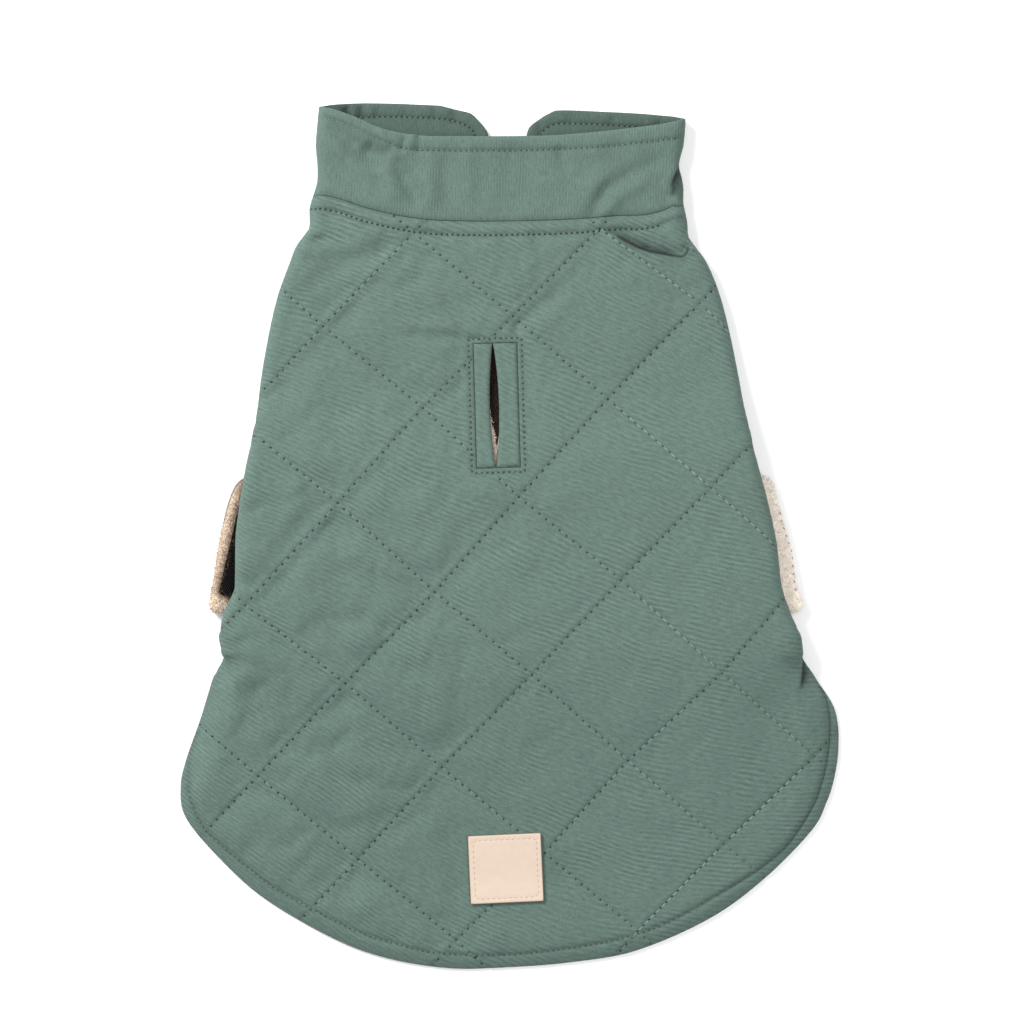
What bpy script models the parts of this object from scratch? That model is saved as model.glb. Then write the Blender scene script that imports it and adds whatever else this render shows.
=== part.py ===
"""A small dog's quilted winter coat, laid flat on its front with its back up.

Frame: +X to the coat's right as it lies, +Y towards the collar, +Z up from the surface it lies on. The
origin is under the middle of the coat's box. Sizes are in millimetres, and MM turns them into metres.

Every piece is a flat pattern, cut in u and v, that is then placed in space. On top of the coat u is x and
v is y. Past a side fold u keeps running round the fold and back inwards underneath, and v stays y.
"""

import math

import bpy
import numpy as np
from mathutils.geometry import delaunay_2d_cdt

MM = 0.001
NAME = "dog_winter_coat"


def table(columns, *rows):
    """A table with named columns, as one array for each column."""
    return dict(zip(columns.split(), np.array(rows, float).T))


# Thicknesses of the cloth, and of the air between two layers.
SHELL = 2.2
LINING = 2.4
AIR = 0.3
WING_SHELL = 1.8
WING_LINING = 2.0
TAPE = 1.0
LEATHER = 1.3

# The side fold, from its hollow core outwards: lining, air, shell.
CORE = 0.25
LINING_IN = 0.0
LINING_OUT = LINING_IN + LINING
SHELL_IN = LINING_OUT + AIR
SHELL_OUT = SHELL_IN + SHELL
FOLD = CORE + SHELL_OUT
TURN = math.pi * FOLD

# Layers under the back, from the floor up.
WING_TOP = WING_SHELL + AIR + WING_LINING
TAPED_TOP = WING_TOP + AIR + TAPE
OVER_TAPE = TAPED_TOP + AIR
OVER_WING = WING_TOP + AIR

# How far out the side folds reach at each height y.
SIDES = table(
    "y left right",
    (192, -83.2, 78.2),
    (183, -84.2, 78.1),
    (172, -85.0, 77.2),
    (163, -84.3, 75.2),
    (156, -84.2, 75.4),
    (149, -86.6, 77.0),
    (136, -89.4, 79.0),
    (129, -93.4, 80.6),
    (121, -96.3, 87.2),
    (104, -102.3, 93.9),
    (86, -106.3, 98.3),
    (68, -109.3, 101.9),
    (51, -111.2, 104.9),
    (33, -115.1, 109.4),
    (15, -118.2, 114.2),
    (-3, -120.2, 118.0),
    (-22, -120.4, 120.3),
    (-33, -125.0, 123.8),
    (-42, -126.8, 127.5),
    (-52, -125.5, 129.2),
    (-66, -120.6, 130.0),
)

# How high the turned-under side lies above the floor: on the strap's end between the two ramps.
REST = table(
    "y height",
    (192, 0),
    (48, 0),
    (30, OVER_TAPE),
    (-38.5, OVER_TAPE),
    (-45, 0),
    (-66, 0),
)

# How high the lining's underside lies: along the middle, and along the skirt's sides.
SPREAD = table(
    "y middle side",
    (192, 5.4, 5.4),
    (78, 5.4, 5.4),
    (58, 6.6, 5.4),
    (34, 9.6, 5.4),
    (20, 10.4, 5.4),
    (-47, 10.4, 5.4),
    (-60, 9.8, 5.4),
    (-74, 5.6, 4.4),
    (-92, 1.4, 1.3),
    (-112, 0, 0),
    (-195, 0, 0),
)
MIDDLE_REACH = 40

# The skirt's hem, from the left notch round the tail to the right notch.
NOTCH = -52
HEM = table(
    "x y",
    (-126.2, -52),
    (-129.6, -63.4),
    (-135.3, -81),
    (-142.3, -98.6),
    (-144.8, -111),
    (-142.4, -124.6),
    (-127.4, -142.6),
    (-107.6, -160.2),
    (-77.2, -177.8),
    (-53, -186.6),
    (-25.7, -190.9),
    (0.7, -190.4),
    (27.1, -188.3),
    (56, -183.2),
    (88.7, -169),
    (112.9, -151.4),
    (130.9, -133.8),
    (141.8, -112),
    (145, -95),
    (144.1, -81),
    (137.4, -66),
    (129.6, -52),
)
HEM_SLOPE = 15.0
SKIRT_OPENS_OVER = 14.0
LINING_INSET = 8.5
LINING_THINNED = 1.1
LINING_TURN = ((-0.7, -8), (-0.6, 4), (-0.3, 13), (0.2, 18), (1.0, 20))

# The seam between back and collar.
NECK = table(
    "x y",
    (-82, 150),
    (-75, 148.4),
    (-61.8, 144.1),
    (-45.5, 140.5),
    (-30.1, 138.8),
    (-9, 138.4),
    (9.9, 138.8),
    (40.6, 140.4),
    (62, 143.2),
    (72, 147),
)
NECK_STEP = 7.5
NECK_LEVEL = 148

# The turned-under side's free edge: how far it reaches inwards past the fold.
RETURN = table(
    "y width",
    (152, 9),
    (60, 9),
    (44, 6),
    (-30, 6),
    (-43, 8),
    (-60, 8),
)
RETURN_FOOT = -60
RETURN_STEP = 8.0

# Which part of the turn under stays folded beside the notch, and the angles over which quilting fades there.
STAYS_FOLDED = (0.7, 0.95)
QUILT_FADES_AT = (0.3, 1.4)

# The belly straps' roots, and the foot of the chest flaps' side seams.
STRAP_ROWS = 3
FLAP_FOOT = 48

# The quilting: two sets of stitched lines, nearly square to each other.
QUILT_AT = (5.9, 17.5)
QUILT_STEPS = (57.1, 56.5)
QUILT_ANGLES = (-40.9, -133.3)
QUILT_PUFF = 2.1
QUILT_SHOULDER = 21.0
QUILT_ROUND = 2.2
QUILT_FADE = 12.0
QUILT_CUTS = (0.0, 0.08, 0.2, 0.35, 0.5, 0.65, 0.8, 0.92)
QUILT_CELLS = range(-6, 7)

# The collar's free edge, over the nape and along the two throat arms below it.
NAPE = table(
    "x y",
    (-84, 189.8),
    (-76, 187.6),
    (-66.7, 184.2),
    (-57.4, 180),
    (-45.5, 177.2),
    (-32, 176),
    (-9, 176),
    (14, 176.2),
    (39.4, 178.2),
    (57, 180.6),
    (68.9, 183),
    (78, 184),
)
THROAT_LEFT = table(
    "x y",
    (-78, 190),
    (-60, 190.3),
    (-43, 189.8),
    (-30, 189.2),
    (-21, 187.6),
    (-15.5, 184.6),
    (-11.2, 180.4),
    (-9, 175.5),
)
THROAT_RIGHT = table(
    "x y",
    (7.7, 175.5),
    (9.6, 180),
    (14.4, 184.6),
    (20.5, 187.4),
    (45, 186.7),
    (63, 185.8),
    (72, 184.6),
)

# Where the collar's outline crosses its side folds, the turns' own points, and the top of its straight ends.
COLLAR_LEVEL = 186
COLLAR_TURN = (0.33, 0.67)
COLLAR_ENDS_TOP = 174

# A belly strap, from its root seam to its end across the coat: the heights of its two long edges.
STRAP = table(
    "along lower upper",
    (0, -60, -44),
    (0.07, -58.8, -40.8),
    (0.14, -57.3, -38.8),
    (0.24, -55, -30),
    (0.46, -48.5, -8),
    (0.74, -39.5, 13),
    (0.9, -34.8, 22),
    (1, -33.6, 26.5),
)
STRAP_ENDS = table(
    "lower_x upper_x",
    (-132.4, -117.5),
    (129.2, 115.0),
)
STRAP_BULGE = 2.5
STRAP_CORNER = (3.0, 0.3)
STRAP_TIP = (0.05, 0.2, 0.4, 0.6, 0.8, 0.95)

# How high the left strap lies: over the right one in the middle, and over its own tape at its end.
CROSSING = table(
    "x height",
    (-130, 0),
    (-108, 0),
    (-86, OVER_WING),
    (80, OVER_WING),
    (100, TAPE + AIR),
    (130, TAPE + AIR),
)

# A chest flap, from its side seam to the front edge: how far its lower edge rises.
FLAP = table(
    "along lower",
    (0, 0),
    (0.12, 9),
    (0.35, 19),
    (0.7, 25),
    (0.9, 28),
    (1, 38),
)
FRONT_EDGES = (-9.0, 7.7)

# The leash slit between the shoulders, with a welt on each side of its opening.
SLIT_AT = (-5.1, 57.4)
SLIT_SIZE = (19.4, 55.0)
SLIT_TILT = 1.6
SLIT_MOUTH = 3.8
SLIT_MOUTH_AT = -1.1
SLIT_SEAT = (0.25, 2.0, 12.0)
WELT_PROUD = 0.5
WELT_GAP = 0.12
LINING_SLIT = (5.2, 50.0)

# The leather patch near the tail.
PATCH_AT = (-1.2, -146.5)
PATCH_SIZE = (31.5, 30.0)
PATCH_TILT = 2.6
PATCH_CORNER = 1.5
PATCH_SEAT = 0.8
PATCH_SEAT_EDGE = (3.0, 10.5)

# The belly closure's tapes, near the two straps' ends.
HOOK_TAPE_AT = (-113.5, -8.0)
LOOP_TAPE_AT = (112.0, -6.5)
TAPE_SIZE = (20.0, 41.0)
TAPE_TILT = 13.0
TAPE_CORNER = 2.0

# The largest soft folds: troughs below and ridges above the cloth, each along a straight line.
FOLDS = table(
    "x0 y0 x1 y1 height width",
    (44, 134.5, 62, 126, -1.3, 3.5),
    (60, 127, 80, 123, -2.2, 3.5),
    (54, 122, 80, 115, 1.6, 7),
    (-88, 132, -74, 132.5, -1.2, 4),
    (-68, 119, -50, 128, -1.0, 6),
    (-34, 87.5, -13, 86.5, -0.9, 3),
    (23, 108, 4, 88.5, -1.2, 3.5),
    (-127, -52, -119, -66, -3.2, 3.5),
    (131, -52, 131, -68, -3.0, 3.5),
    (-54, 150, -46, 176, -0.8, 5),
    (-36, 152, -30, 174, 0.7, 6),
    (44, 142, 64, 160, -0.9, 5),
    (22, 150, 40, 168, 0.6, 7),
)

SOFT_FOLDS_FADE_AT = (0.4, 1.4)

# Spacing of the corners of the cloth's triangles.
RIM_STEP = 8.5
FINE_STEP = 8.0
COARSE_STEP = 14.0
FOLD_ROWS = 6
FOLD_SLANT = 0.4
RIM_CLEAR = 2.5
FOLD_CLEAR = 2.5

COLOURS = {
    "quilted_shell": ((0.158, 0.238, 0.205, 1), 0.85),
    "fleece": ((0.72, 0.62, 0.53, 1), 0.95),
    "patch_leather": ((0.85, 0.70, 0.56, 1), 0.5),
    "black_tape": ((0.01, 0.01, 0.012, 1), 0.7),
    "green_tape": ((0.13, 0.19, 0.17, 1), 0.9),
}


# ---- curves and distances ----


def curve(places, values):
    """A smooth function through the values at the places, which never overshoots them."""
    order = np.argsort(places)
    x, y = np.asarray(places)[order], np.asarray(values)[order]
    slope = np.diff(y) / np.diff(x)
    before, after = slope[:-1], slope[1:]
    flat = before * after <= 0
    bend = np.where(flat, 0, 2 * before * after / np.where(flat, 1, before + after))
    tangent = np.concatenate([slope[:1], bend, slope[-1:]])

    def at(place):
        p = min(max(place, x[0]), x[-1])
        i = min(max(int(np.searchsorted(x, p)) - 1, 0), len(slope) - 1)
        span = x[i + 1] - x[i]
        t = (p - x[i]) / span
        rise = y[i] * (1 + 2 * t) * (1 - t) ** 2 + y[i + 1] * t * t * (3 - 2 * t)
        return float(rise + span * (tangent[i] * t * (1 - t) ** 2 + tangent[i + 1] * t * t * (t - 1)))

    return at


def ease(t):
    """0 to 1, with a soft start and end."""
    t = min(max(t, 0.0), 1.0)
    return t * t * (3 - 2 * t)


def fading(value, start, end):
    """1 up to the start and 0 past the end, with a soft way down between them."""
    return 1 - ease((value - start) / (end - start))


def spaced(points, step):
    """Points about step apart along a polyline, with both its ends."""
    points = np.asarray(points, float)
    along = np.concatenate([[0], np.cumsum(np.linalg.norm(np.diff(points, axis=0), axis=1))])
    at = np.linspace(0, along[-1], max(2, round(along[-1] / step) + 1))
    return np.stack([np.interp(at, along, points[:, k]) for k in range(2)], axis=1)


def spline(xs, ys, parts=8):
    """A dense polyline on a smooth curve that passes through each point."""
    p = np.stack([xs, ys], axis=1)
    p = np.vstack([2 * p[0] - p[1], p, 2 * p[-1] - p[-2]])
    out = []
    for a, b, c, d in zip(p, p[1:], p[2:], p[3:]):
        for k in range(parts):
            t = k / parts
            bend = 2 * a - 5 * b + 4 * c - d
            twist = 3 * b - a - 3 * c + d
            out.append(0.5 * (2 * b + (c - a) * t + bend * t**2 + twist * t**3))
    out.append(p[-2])
    return np.array(out)


def distance(point, line):
    """How far a point is from a polyline."""
    a, b = line[:-1], line[1:]
    d = b - a
    t = ((point - a) * d).sum(1) / np.maximum((d * d).sum(1), 1e-9)
    near = a + d * np.clip(t, 0, 1)[:, None]
    return float(np.sqrt(((near - point) ** 2).sum(1).min()))


def closed(rim):
    return np.vstack([rim, rim[:1]])


def inside(point, rim):
    """Whether a point lies within a closed rim."""
    x, y = point
    a, b = rim, np.roll(rim, -1, axis=0)
    crosses = (a[:, 1] > y) != (b[:, 1] > y)
    rise = np.where(crosses, b[:, 1] - a[:, 1], 1)
    return bool((crosses & (x < a[:, 0] + (y - a[:, 1]) * (b[:, 0] - a[:, 0]) / rise)).sum() % 2)


def holds(point, rims):
    """Whether a point lies within the first rim and outside the holes that the others bound."""
    return inside(point, rims[0]) and not any(inside(point, hole) for hole in rims[1:])


def turned(size, at, tilt, corner=0.0, step=RIM_STEP):
    """A rectangle with rounded corners, turned by tilt degrees about its middle."""
    half = np.array(size) / 2 - corner
    points = []
    for quarter, (sx, sy) in enumerate(((1, 1), (-1, 1), (-1, -1), (1, -1))):
        for k in range(4 if corner else 1):
            angle = math.radians(90 * quarter + 30 * k)
            points.append((sx * half[0] + corner * math.cos(angle), sy * half[1] + corner * math.sin(angle)))
    points = closed(np.array(points))
    sides = [spaced(points[i : i + 2], step)[:-1] for i in range(len(points) - 1)]
    c, s = math.cos(math.radians(tilt)), math.sin(math.radians(tilt))
    return np.vstack(sides) @ np.array([[c, s], [-s, c]]) + at


def local(point, at, tilt):
    """A point of the coat in the axes of something tilted that sits at a place."""
    c, s = math.cos(math.radians(tilt)), math.sin(math.radians(tilt))
    x, y = point[0] - at[0], point[1] - at[1]
    return x * c + y * s, y * c - x * s


def outside(point, size, at, tilt):
    """How far a point lies outside a tilted rectangle."""
    x, y = local(point, at, tilt)
    return max(abs(x) - size[0] / 2, abs(y) - size[1] / 2)


# ---- the coat's form ----

left_side = curve(SIDES["y"], SIDES["left"])
right_side = curve(SIDES["y"], SIDES["right"])
rest_height = curve(REST["y"], REST["height"])
middle_height = curve(SPREAD["y"], SPREAD["middle"])
skirt_side_height = curve(SPREAD["y"], SPREAD["side"])
neck_seam = curve(NECK["x"], NECK["y"])
nape_edge = curve(NAPE["x"], NAPE["y"])
return_width = curve(RETURN["y"], RETURN["width"])
crossing_height = curve(CROSSING["x"], CROSSING["height"])
hem_line = spline(HEM["x"], HEM["y"])


def fold_start(side, v):
    """Where the cloth starts to turn under, -1 at the left and 1 at the right."""
    return left_side(v) + FOLD if side < 0 else right_side(v) - FOLD


def side_of(u, v):
    return -1 if u < (fold_start(-1, v) + fold_start(1, v)) / 2 else 1


def under(u, v, side_height):
    """How high the lining's underside lies on the coat's top layer."""
    side = side_of(u, v)
    inwards = side * (fold_start(side, v) - u)
    return side_height + (middle_height(v) - side_height) * ease(inwards / MIDDLE_REACH)


def folded(u, v, offset, relief=0.0):
    """A point of the body, offset out from its lining's inner face, turned under at the sides."""
    side = side_of(u, v)
    start = fold_start(side, v)
    beyond = side * (u - start)
    bottom = rest_height(v)
    radius = CORE + offset
    if beyond <= 0:
        return np.array([u, v, under(u, v, bottom + FOLD + CORE) + offset + relief])
    angle = beyond / FOLD
    if angle >= math.pi:
        return np.array([start - side * (beyond - TURN), v, bottom + FOLD - radius])
    radius += relief * fading(angle, *QUILT_FADES_AT)
    return np.array([start + side * radius * math.sin(angle), v, bottom + FOLD + radius * math.cos(angle)])


def spread(u, v, offset, relief=0.0):
    """The same point with the skirt laid open, its hem lowered to the floor."""
    edge = distance((u, v), hem_line)
    height = under(u, v, skirt_side_height(v)) * ease(edge / HEM_SLOPE)
    lowered = max(offset - SHELL_IN, 0) if offset >= SHELL_IN else offset
    hem = lowered + (offset - lowered) * ease(edge / LINING_INSET)
    return np.array([u, v, height + hem + relief])


def body(u, v, offset, relief=0.0):
    """A point of the coat: folded down to the notches, and laid open below them."""
    open_out = ease((NOTCH - v) / SKIRT_OPENS_OVER)
    beyond = side_of(u, v) * (u - fold_start(side_of(u, v), v))
    if v > RETURN_FOOT - 1:
        open_out *= fading(beyond / TURN, *STAYS_FOLDED)
    if open_out == 0:
        return folded(u, v, offset, relief)
    return (1 - open_out) * folded(u, v, offset, relief) + open_out * spread(u, v, offset, relief)


def soft_folds(x, y):
    """The height that the soft folds add at a place on top of the coat."""
    height = 0.0
    for x0, y0, x1, y1, rise, width in zip(*FOLDS.values()):
        d = np.array([x1 - x0, y1 - y0])
        t = ((x - x0) * d[0] + (y - y0) * d[1]) / (d @ d)
        across = abs((x - x0) * d[1] - (y - y0) * d[0]) / math.sqrt(d @ d)
        fade = ease((t + 0.25) / 0.5) * ease((1.25 - t) / 0.5)
        height += rise * fade * math.exp(-((across / width) ** 2))
    return height


def quilt_axes():
    """The two steps of the quilting, each from one stitched line to the next."""
    return [
        step * np.array([math.cos(math.radians(angle)), math.sin(math.radians(angle))])
        for step, angle in zip(QUILT_STEPS, QUILT_ANGLES)
    ]


def quilt_cell(u, v):
    """A place counted in quilting squares along the two steps."""
    a, b = quilt_axes()
    x, y = u - QUILT_AT[0], v - QUILT_AT[1]
    cross = a[0] * b[1] - a[1] * b[0]
    return (x * b[1] - y * b[0]) / cross, (y * a[0] - x * a[1]) / cross


def puff(u, v):
    """How far the wadding lifts the shell between the stitched lines."""
    lift = QUILT_PUFF
    for count, step in zip(quilt_cell(u, v), QUILT_STEPS):
        near = min(abs(count - round(count)) * step / QUILT_SHOULDER, 1)
        lift *= 1 - (1 - near) ** QUILT_ROUND
    return lift


def shell_relief(u, v):
    """The shell's outer face over its plain inside: quilting, bands, seats and soft folds."""
    lift = puff(u, v) * (1 - fading(neck_height(u, v) - v, 0, QUILT_FADE))
    if v < NOTCH + QUILT_FADE:
        lift *= 1 - fading(distance((u, v), hem_line), 0, QUILT_FADE)
    lift += (PATCH_SEAT - lift) * fading(outside((u, v), PATCH_SIZE, PATCH_AT, PATCH_TILT), *PATCH_SEAT_EDGE)
    left, start, end = SLIT_SEAT
    lift *= 1 - (1 - left) * fading(outside((u, v), SLIT_SIZE, SLIT_AT, SLIT_TILT), start, end)
    return lift + soft_folds(u, v) * fading(turned_under(u, v), *SOFT_FOLDS_FADE_AT)


def turned_under(u, v):
    """The angle through which the cloth has turned under at a place, negative on the coat's top."""
    side = side_of(u, v)
    return side * (u - fold_start(side, v)) / FOLD


def neck_height(u, v):
    """The height of the neck seam, round the folds too."""
    start = fold_start(side_of(u, v), v)
    x = max(u, start) if side_of(u, v) < 0 else min(u, start)
    return neck_seam(x)


# ---- cutting and placing ----


def triangulate(rims, points, lines=()):
    """The triangles of a flat pattern within its rims; the first rim is its outline, the others are holes."""
    corners = []
    edges = []
    for rim in rims:
        first = len(corners)
        corners += [tuple(p) for p in rim]
        edges += [(first + k, first + (k + 1) % len(rim)) for k in range(len(rim))]
    for line in lines:
        first = len(corners)
        corners += [tuple(p) for p in line]
        edges += [(first + k, first + k + 1) for k in range(len(line) - 1)]
    corners += [tuple(p) for p in points]
    found, _, faces = delaunay_2d_cdt(corners, edges, [], 0, 1e-3)[:3]
    found = np.array([tuple(p) for p in found])
    kept = []
    for face in faces:
        a, b, c = found[list(face)]
        flat = abs((b[0] - a[0]) * (c[1] - a[1]) - (b[1] - a[1]) * (c[0] - a[0])) < 0.002
        if not flat and holds((a + b + c) / 3, rims):
            kept.append(list(face))
    return found, kept


def borders(found, faces):
    """The closed borders of a flat mesh, each in the direction of its faces."""
    half = {(face[k], face[(k + 1) % len(face)]) for face in faces for k in range(len(face))}
    following = {a: b for a, b in half if (b, a) not in half}
    loops = []
    while following:
        start, at = next(iter(following.items()))
        following.pop(start)
        loop = [start]
        while at != start:
            loop.append(at)
            at = following.pop(at)
        loops.append(loop)
    return sorted(loops, key=len, reverse=True)


def cloth(name, material, rims, outer, inner, fine=(), coarse=(), lines=()):
    """A closed wall of cloth: a fine outer face and a coarser inner one, joined along their shared rims."""
    top, top_faces = triangulate(rims, fine, lines)
    loops = borders(top, top_faces)
    low, low_faces = triangulate([top[loop] for loop in loops], coarse)
    key = {tuple(np.round(p, 2)): i for i, p in enumerate(low)}
    corners = [outer(*p) for p in top] + [inner(*p) for p in low]
    faces = list(top_faces)
    faces += [[len(top) + k for k in reversed(face)] for face in low_faces]
    for loop in loops:
        below = [len(top) + key[tuple(np.round(top[k], 2))] for k in loop]
        for k in range(len(loop)):
            n = (k + 1) % len(loop)
            faces.append([loop[n], loop[k], below[k]])
            faces.append([loop[n], below[k], below[n]])
    used = sorted({k for face in faces for k in face})
    place = {k: i for i, k in enumerate(used)}
    mesh = bpy.data.meshes.new(name)
    mesh.from_pydata(
        [corners[k] * MM for k in used], [], [[place[k] for k in face] for face in faces]
    )
    mesh.materials.append(material)
    mesh.shade_smooth()
    mesh.set_sharp_from_angle(angle=math.radians(40))
    piece = bpy.data.objects.new(name, mesh)
    bpy.data.collections[NAME].objects.link(piece)
    return piece


def sprinkle(rims, step, clear):
    """Staggered rows of points inside an outline, clear of every rim."""
    low, high = rims[0].min(0), rims[0].max(0)
    points = []
    for i in range(int((high[1] - low[1]) / step) + 1):
        for j in range(int((high[0] - low[0]) / step) + 1):
            points.append((low[0] + (j + 0.5 * (i % 2)) * step, low[1] + (i + 0.5) * step))
    return clear_points(points, rims, clear)


def clear_points(points, rims, clear):
    """The points within a pattern that lie further than clear from all its rims."""
    held = [tuple(p) for p in points if holds(p, rims)]
    return [p for p in held if min(distance(p, closed(rim)) for rim in rims) > clear]


def fold_points(low, high, step):
    """Rows of points round both side folds, so that they turn evenly."""
    count = round((high - low) / step)
    points = []
    for k in range(1, count):
        v = low + (high - low) * k / count
        for side in (-1, 1):
            for row in range(FOLD_ROWS + 1):
                slant = FOLD_SLANT * row
                points.append((fold_start(side, v + slant) + side * TURN * row / FOLD_ROWS, v + slant))
    return points


def off_folds(points, low):
    """The points that lie on the coat's top, or below the folds."""
    kept = []
    for u, v in points:
        side = side_of(u, v)
        if v < low or side * (u - fold_start(side, v)) < -FOLD_CLEAR:
            kept.append((u, v))
    return kept


# ---- pieces ----


def return_edge(side, v, gap=0.0):
    """Where the turned-under side ends in the pattern, or where what is sewn to it starts."""
    return fold_start(side, v) + side * (TURN + return_width(v) + gap)


def return_rows(side, low=-1000.0):
    """The heights of the corners along a turned-under side's edge, from the lowest up to the neck."""
    top = NECK["y"][0 if side < 0 else -1]
    rows = np.linspace(RETURN_FOOT, top, round((top - RETURN_FOOT) / RETURN_STEP) + 1)
    return rows[rows >= low]


def return_line(side, gap=0.0, low=-1000.0):
    """The turned-under side's edge in the pattern, upwards, or the edge of what is sewn to it."""
    return [(return_edge(side, v, gap), v) for v in return_rows(side, low)]


def neck_line(low, high, gap=0.0):
    """The neck seam in the pattern, from low to high."""
    places = np.arange(math.floor(low / NECK_STEP), math.ceil(high / NECK_STEP) + 1) * NECK_STEP
    return [(u, neck_height(u, NECK_LEVEL) + gap) for u in places if low + 1 < u < high - 1]


def back_outline():
    """The back panel's outline: hem, right turned-under side, neck, left turned-under side."""
    right, left = return_line(1), return_line(-1)
    neck = neck_line(left[-1][0], right[-1][0])
    return np.vstack([spaced(hem_line, RIM_STEP), right, neck[::-1], left[::-1]])


def inset_line(line, inset):
    """A line moved to its left by inset, which is towards the coat's middle along the hem."""
    ahead = np.gradient(line, axis=0)
    ahead /= np.linalg.norm(ahead, axis=1)[:, None]
    return line + inset * np.stack([-ahead[:, 1], ahead[:, 0]], axis=1)


def quilt_points_and_lines(rims):
    """Corners along and between the quilting lines, and the lines themselves on the coat's top."""
    a, b = quilt_axes()
    grid = [c + f for c in QUILT_CELLS for f in QUILT_CUTS]

    def place(i, j):
        return np.array(QUILT_AT) + i * a + j * b

    def on_top(p):
        side = side_of(*p)
        return side * (p[0] - fold_start(side, p[1])) < -1 or p[1] < NOTCH - SKIRT_OPENS_OVER

    points = [place(i, j) for i in grid for j in grid if i % 1 and j % 1]
    lines = []
    for n in QUILT_CELLS:
        for line in ([place(n, j) for j in grid], [place(i, n) for i in grid]):
            for p, q in zip(line, line[1:]):
                if (holds(p, rims) or holds(q, rims)) and on_top(p) and on_top(q):
                    lines.append((p, q))
    return points, lines


def plain_points(rims):
    """Corners for the back's plain faces, the same ones in every layer that holds them."""
    points = off_folds(sprinkle([back_outline()], COARSE_STEP, 4), NOTCH)
    points += fold_points(NOTCH, 150, FINE_STEP) + list(turned(SLIT_SIZE, SLIT_AT, SLIT_TILT))
    edge = lining_outline()
    points = [p for p in points if distance(p, closed(edge)) > RIM_CLEAR]
    return clear_points(points + list(edge), rims, 1.5)


def hem_inset():
    """The line that the lining's edge follows inside the hem."""
    return [p for p in inset_line(spaced(hem_line, RIM_STEP), LINING_INSET) if p[1] < NOTCH - 20]


def back_shell(material):
    rims = [back_outline(), turned(SLIT_SIZE, SLIT_AT, SLIT_TILT)]
    points, lines = quilt_points_and_lines(rims)
    around = fold_points(NOTCH, 150, FINE_STEP)
    fine = clear_points(off_folds(points, NOTCH), rims, 3.0) + clear_points(around, rims, 2.0)
    coarse = plain_points(rims)
    return cloth(
        "back_shell",
        material,
        rims,
        lambda u, v: body(u, v, SHELL_OUT, shell_relief(u, v)),
        lambda u, v: body(u, v, SHELL_IN),
        fine,
        coarse,
        lines,
    )


def slit_mouth(width, length, points=7):
    """The slit's two lips as a lens, tilted as the slit is: the left lip upwards, the right one down."""
    rows = np.linspace(-1, 1, points)
    left = [(SLIT_MOUTH_AT - width / 2 * (1 - y * y), y * length / 2) for y in rows]
    right = [(SLIT_MOUTH_AT + width / 2 * (1 - y * y), y * length / 2) for y in rows[::-1][1:-1]]
    return left, right


def tilted(points, at, tilt):
    c, s = math.cos(math.radians(tilt)), math.sin(math.radians(tilt))
    return np.array(points) @ np.array([[c, s], [-s, c]]) + at


def back_lining(material):
    left, right = slit_mouth(*LINING_SLIT)
    rims = [lining_outline(), tilted(left + right, SLIT_AT, SLIT_TILT)]
    edge = closed(rims[0])

    def pile(u, v):
        thinned = LINING_THINNED * (1 - ease(distance((u, v), edge) / LINING_INSET))
        return body(u, v, LINING_OUT - thinned)

    points = plain_points(rims)
    return cloth("back_lining", material, rims, pile, lambda u, v: body(u, v, LINING_IN), points, points)


def lining_outline():
    """The lining's outline: as the shell's, but short of the hem."""
    right, left = (return_line(side, 0, NOTCH + 20) for side in (1, -1))
    neck = neck_line(left[-1][0], right[-1][0])
    turn = {
        side: [(fold_start(side, NOTCH) + side * TURN * part, NOTCH + rise) for part, rise in LINING_TURN]
        for side in (-1, 1)
    }
    return np.vstack([hem_inset(), turn[1], right, neck[::-1], left[::-1], turn[-1][::-1]])


def strap_shape(side):
    """A belly strap's outline, rooted at one side and reaching across to the other."""
    lower = curve(STRAP["along"], STRAP["lower"])
    upper = curve(STRAP["along"], STRAP["upper"])
    end = 0 if side > 0 else 1
    lower_x, upper_x = STRAP_ENDS["lower_x"][end], STRAP_ENDS["upper_x"][end]

    root = [np.array([folded(u, v, SHELL_OUT)[0], v]) for u, v in return_line(side, AIR)[:STRAP_ROWS]]

    def edge(along, height, end_x):
        first = root[0 if height is lower else -1][0]
        return np.array([first + (end_x - first) * along, height(along)])

    alongs = np.linspace(0, 1, 25)
    low = [edge(a, lower, lower_x) for a in alongs]
    high = [edge(a, upper, upper_x) for a in alongs]
    back, up = STRAP_CORNER
    low[-1] += (side * back, up)
    high[-1] += (side * back, -up)
    tip = []
    for t in STRAP_TIP:
        p = edge(1, lower, lower_x) * (1 - t) + edge(1, upper, upper_x) * t
        tip.append(p + (-side * STRAP_BULGE * 4 * t * (1 - t), 0))
    rim = np.array(low + tip + high[::-1] + root[1:-1])
    return rim[::-1] if side > 0 else rim


def strap_height(side, x):
    """How high a strap's outer cloth lies: the right one on the floor, the left one over it."""
    return 0.0 if side > 0 else crossing_height(x)


def wing(side, names, shell, lining):
    rim = strap_shape(side)
    points = sprinkle([rim], 1.2 * FINE_STEP, 3.5)

    def at(level):
        return lambda u, v: np.array([u, v, strap_height(side, u) + level])

    cloth(names[0], shell, [rim], at(WING_SHELL), at(0), points, points)
    cloth(names[1], lining, [rim], at(WING_TOP), at(WING_SHELL + AIR), points, points)


def laid_at(height):
    """Places a flat pattern level, at a height above the floor."""
    return lambda u, v: np.array([u, v, height])


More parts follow.
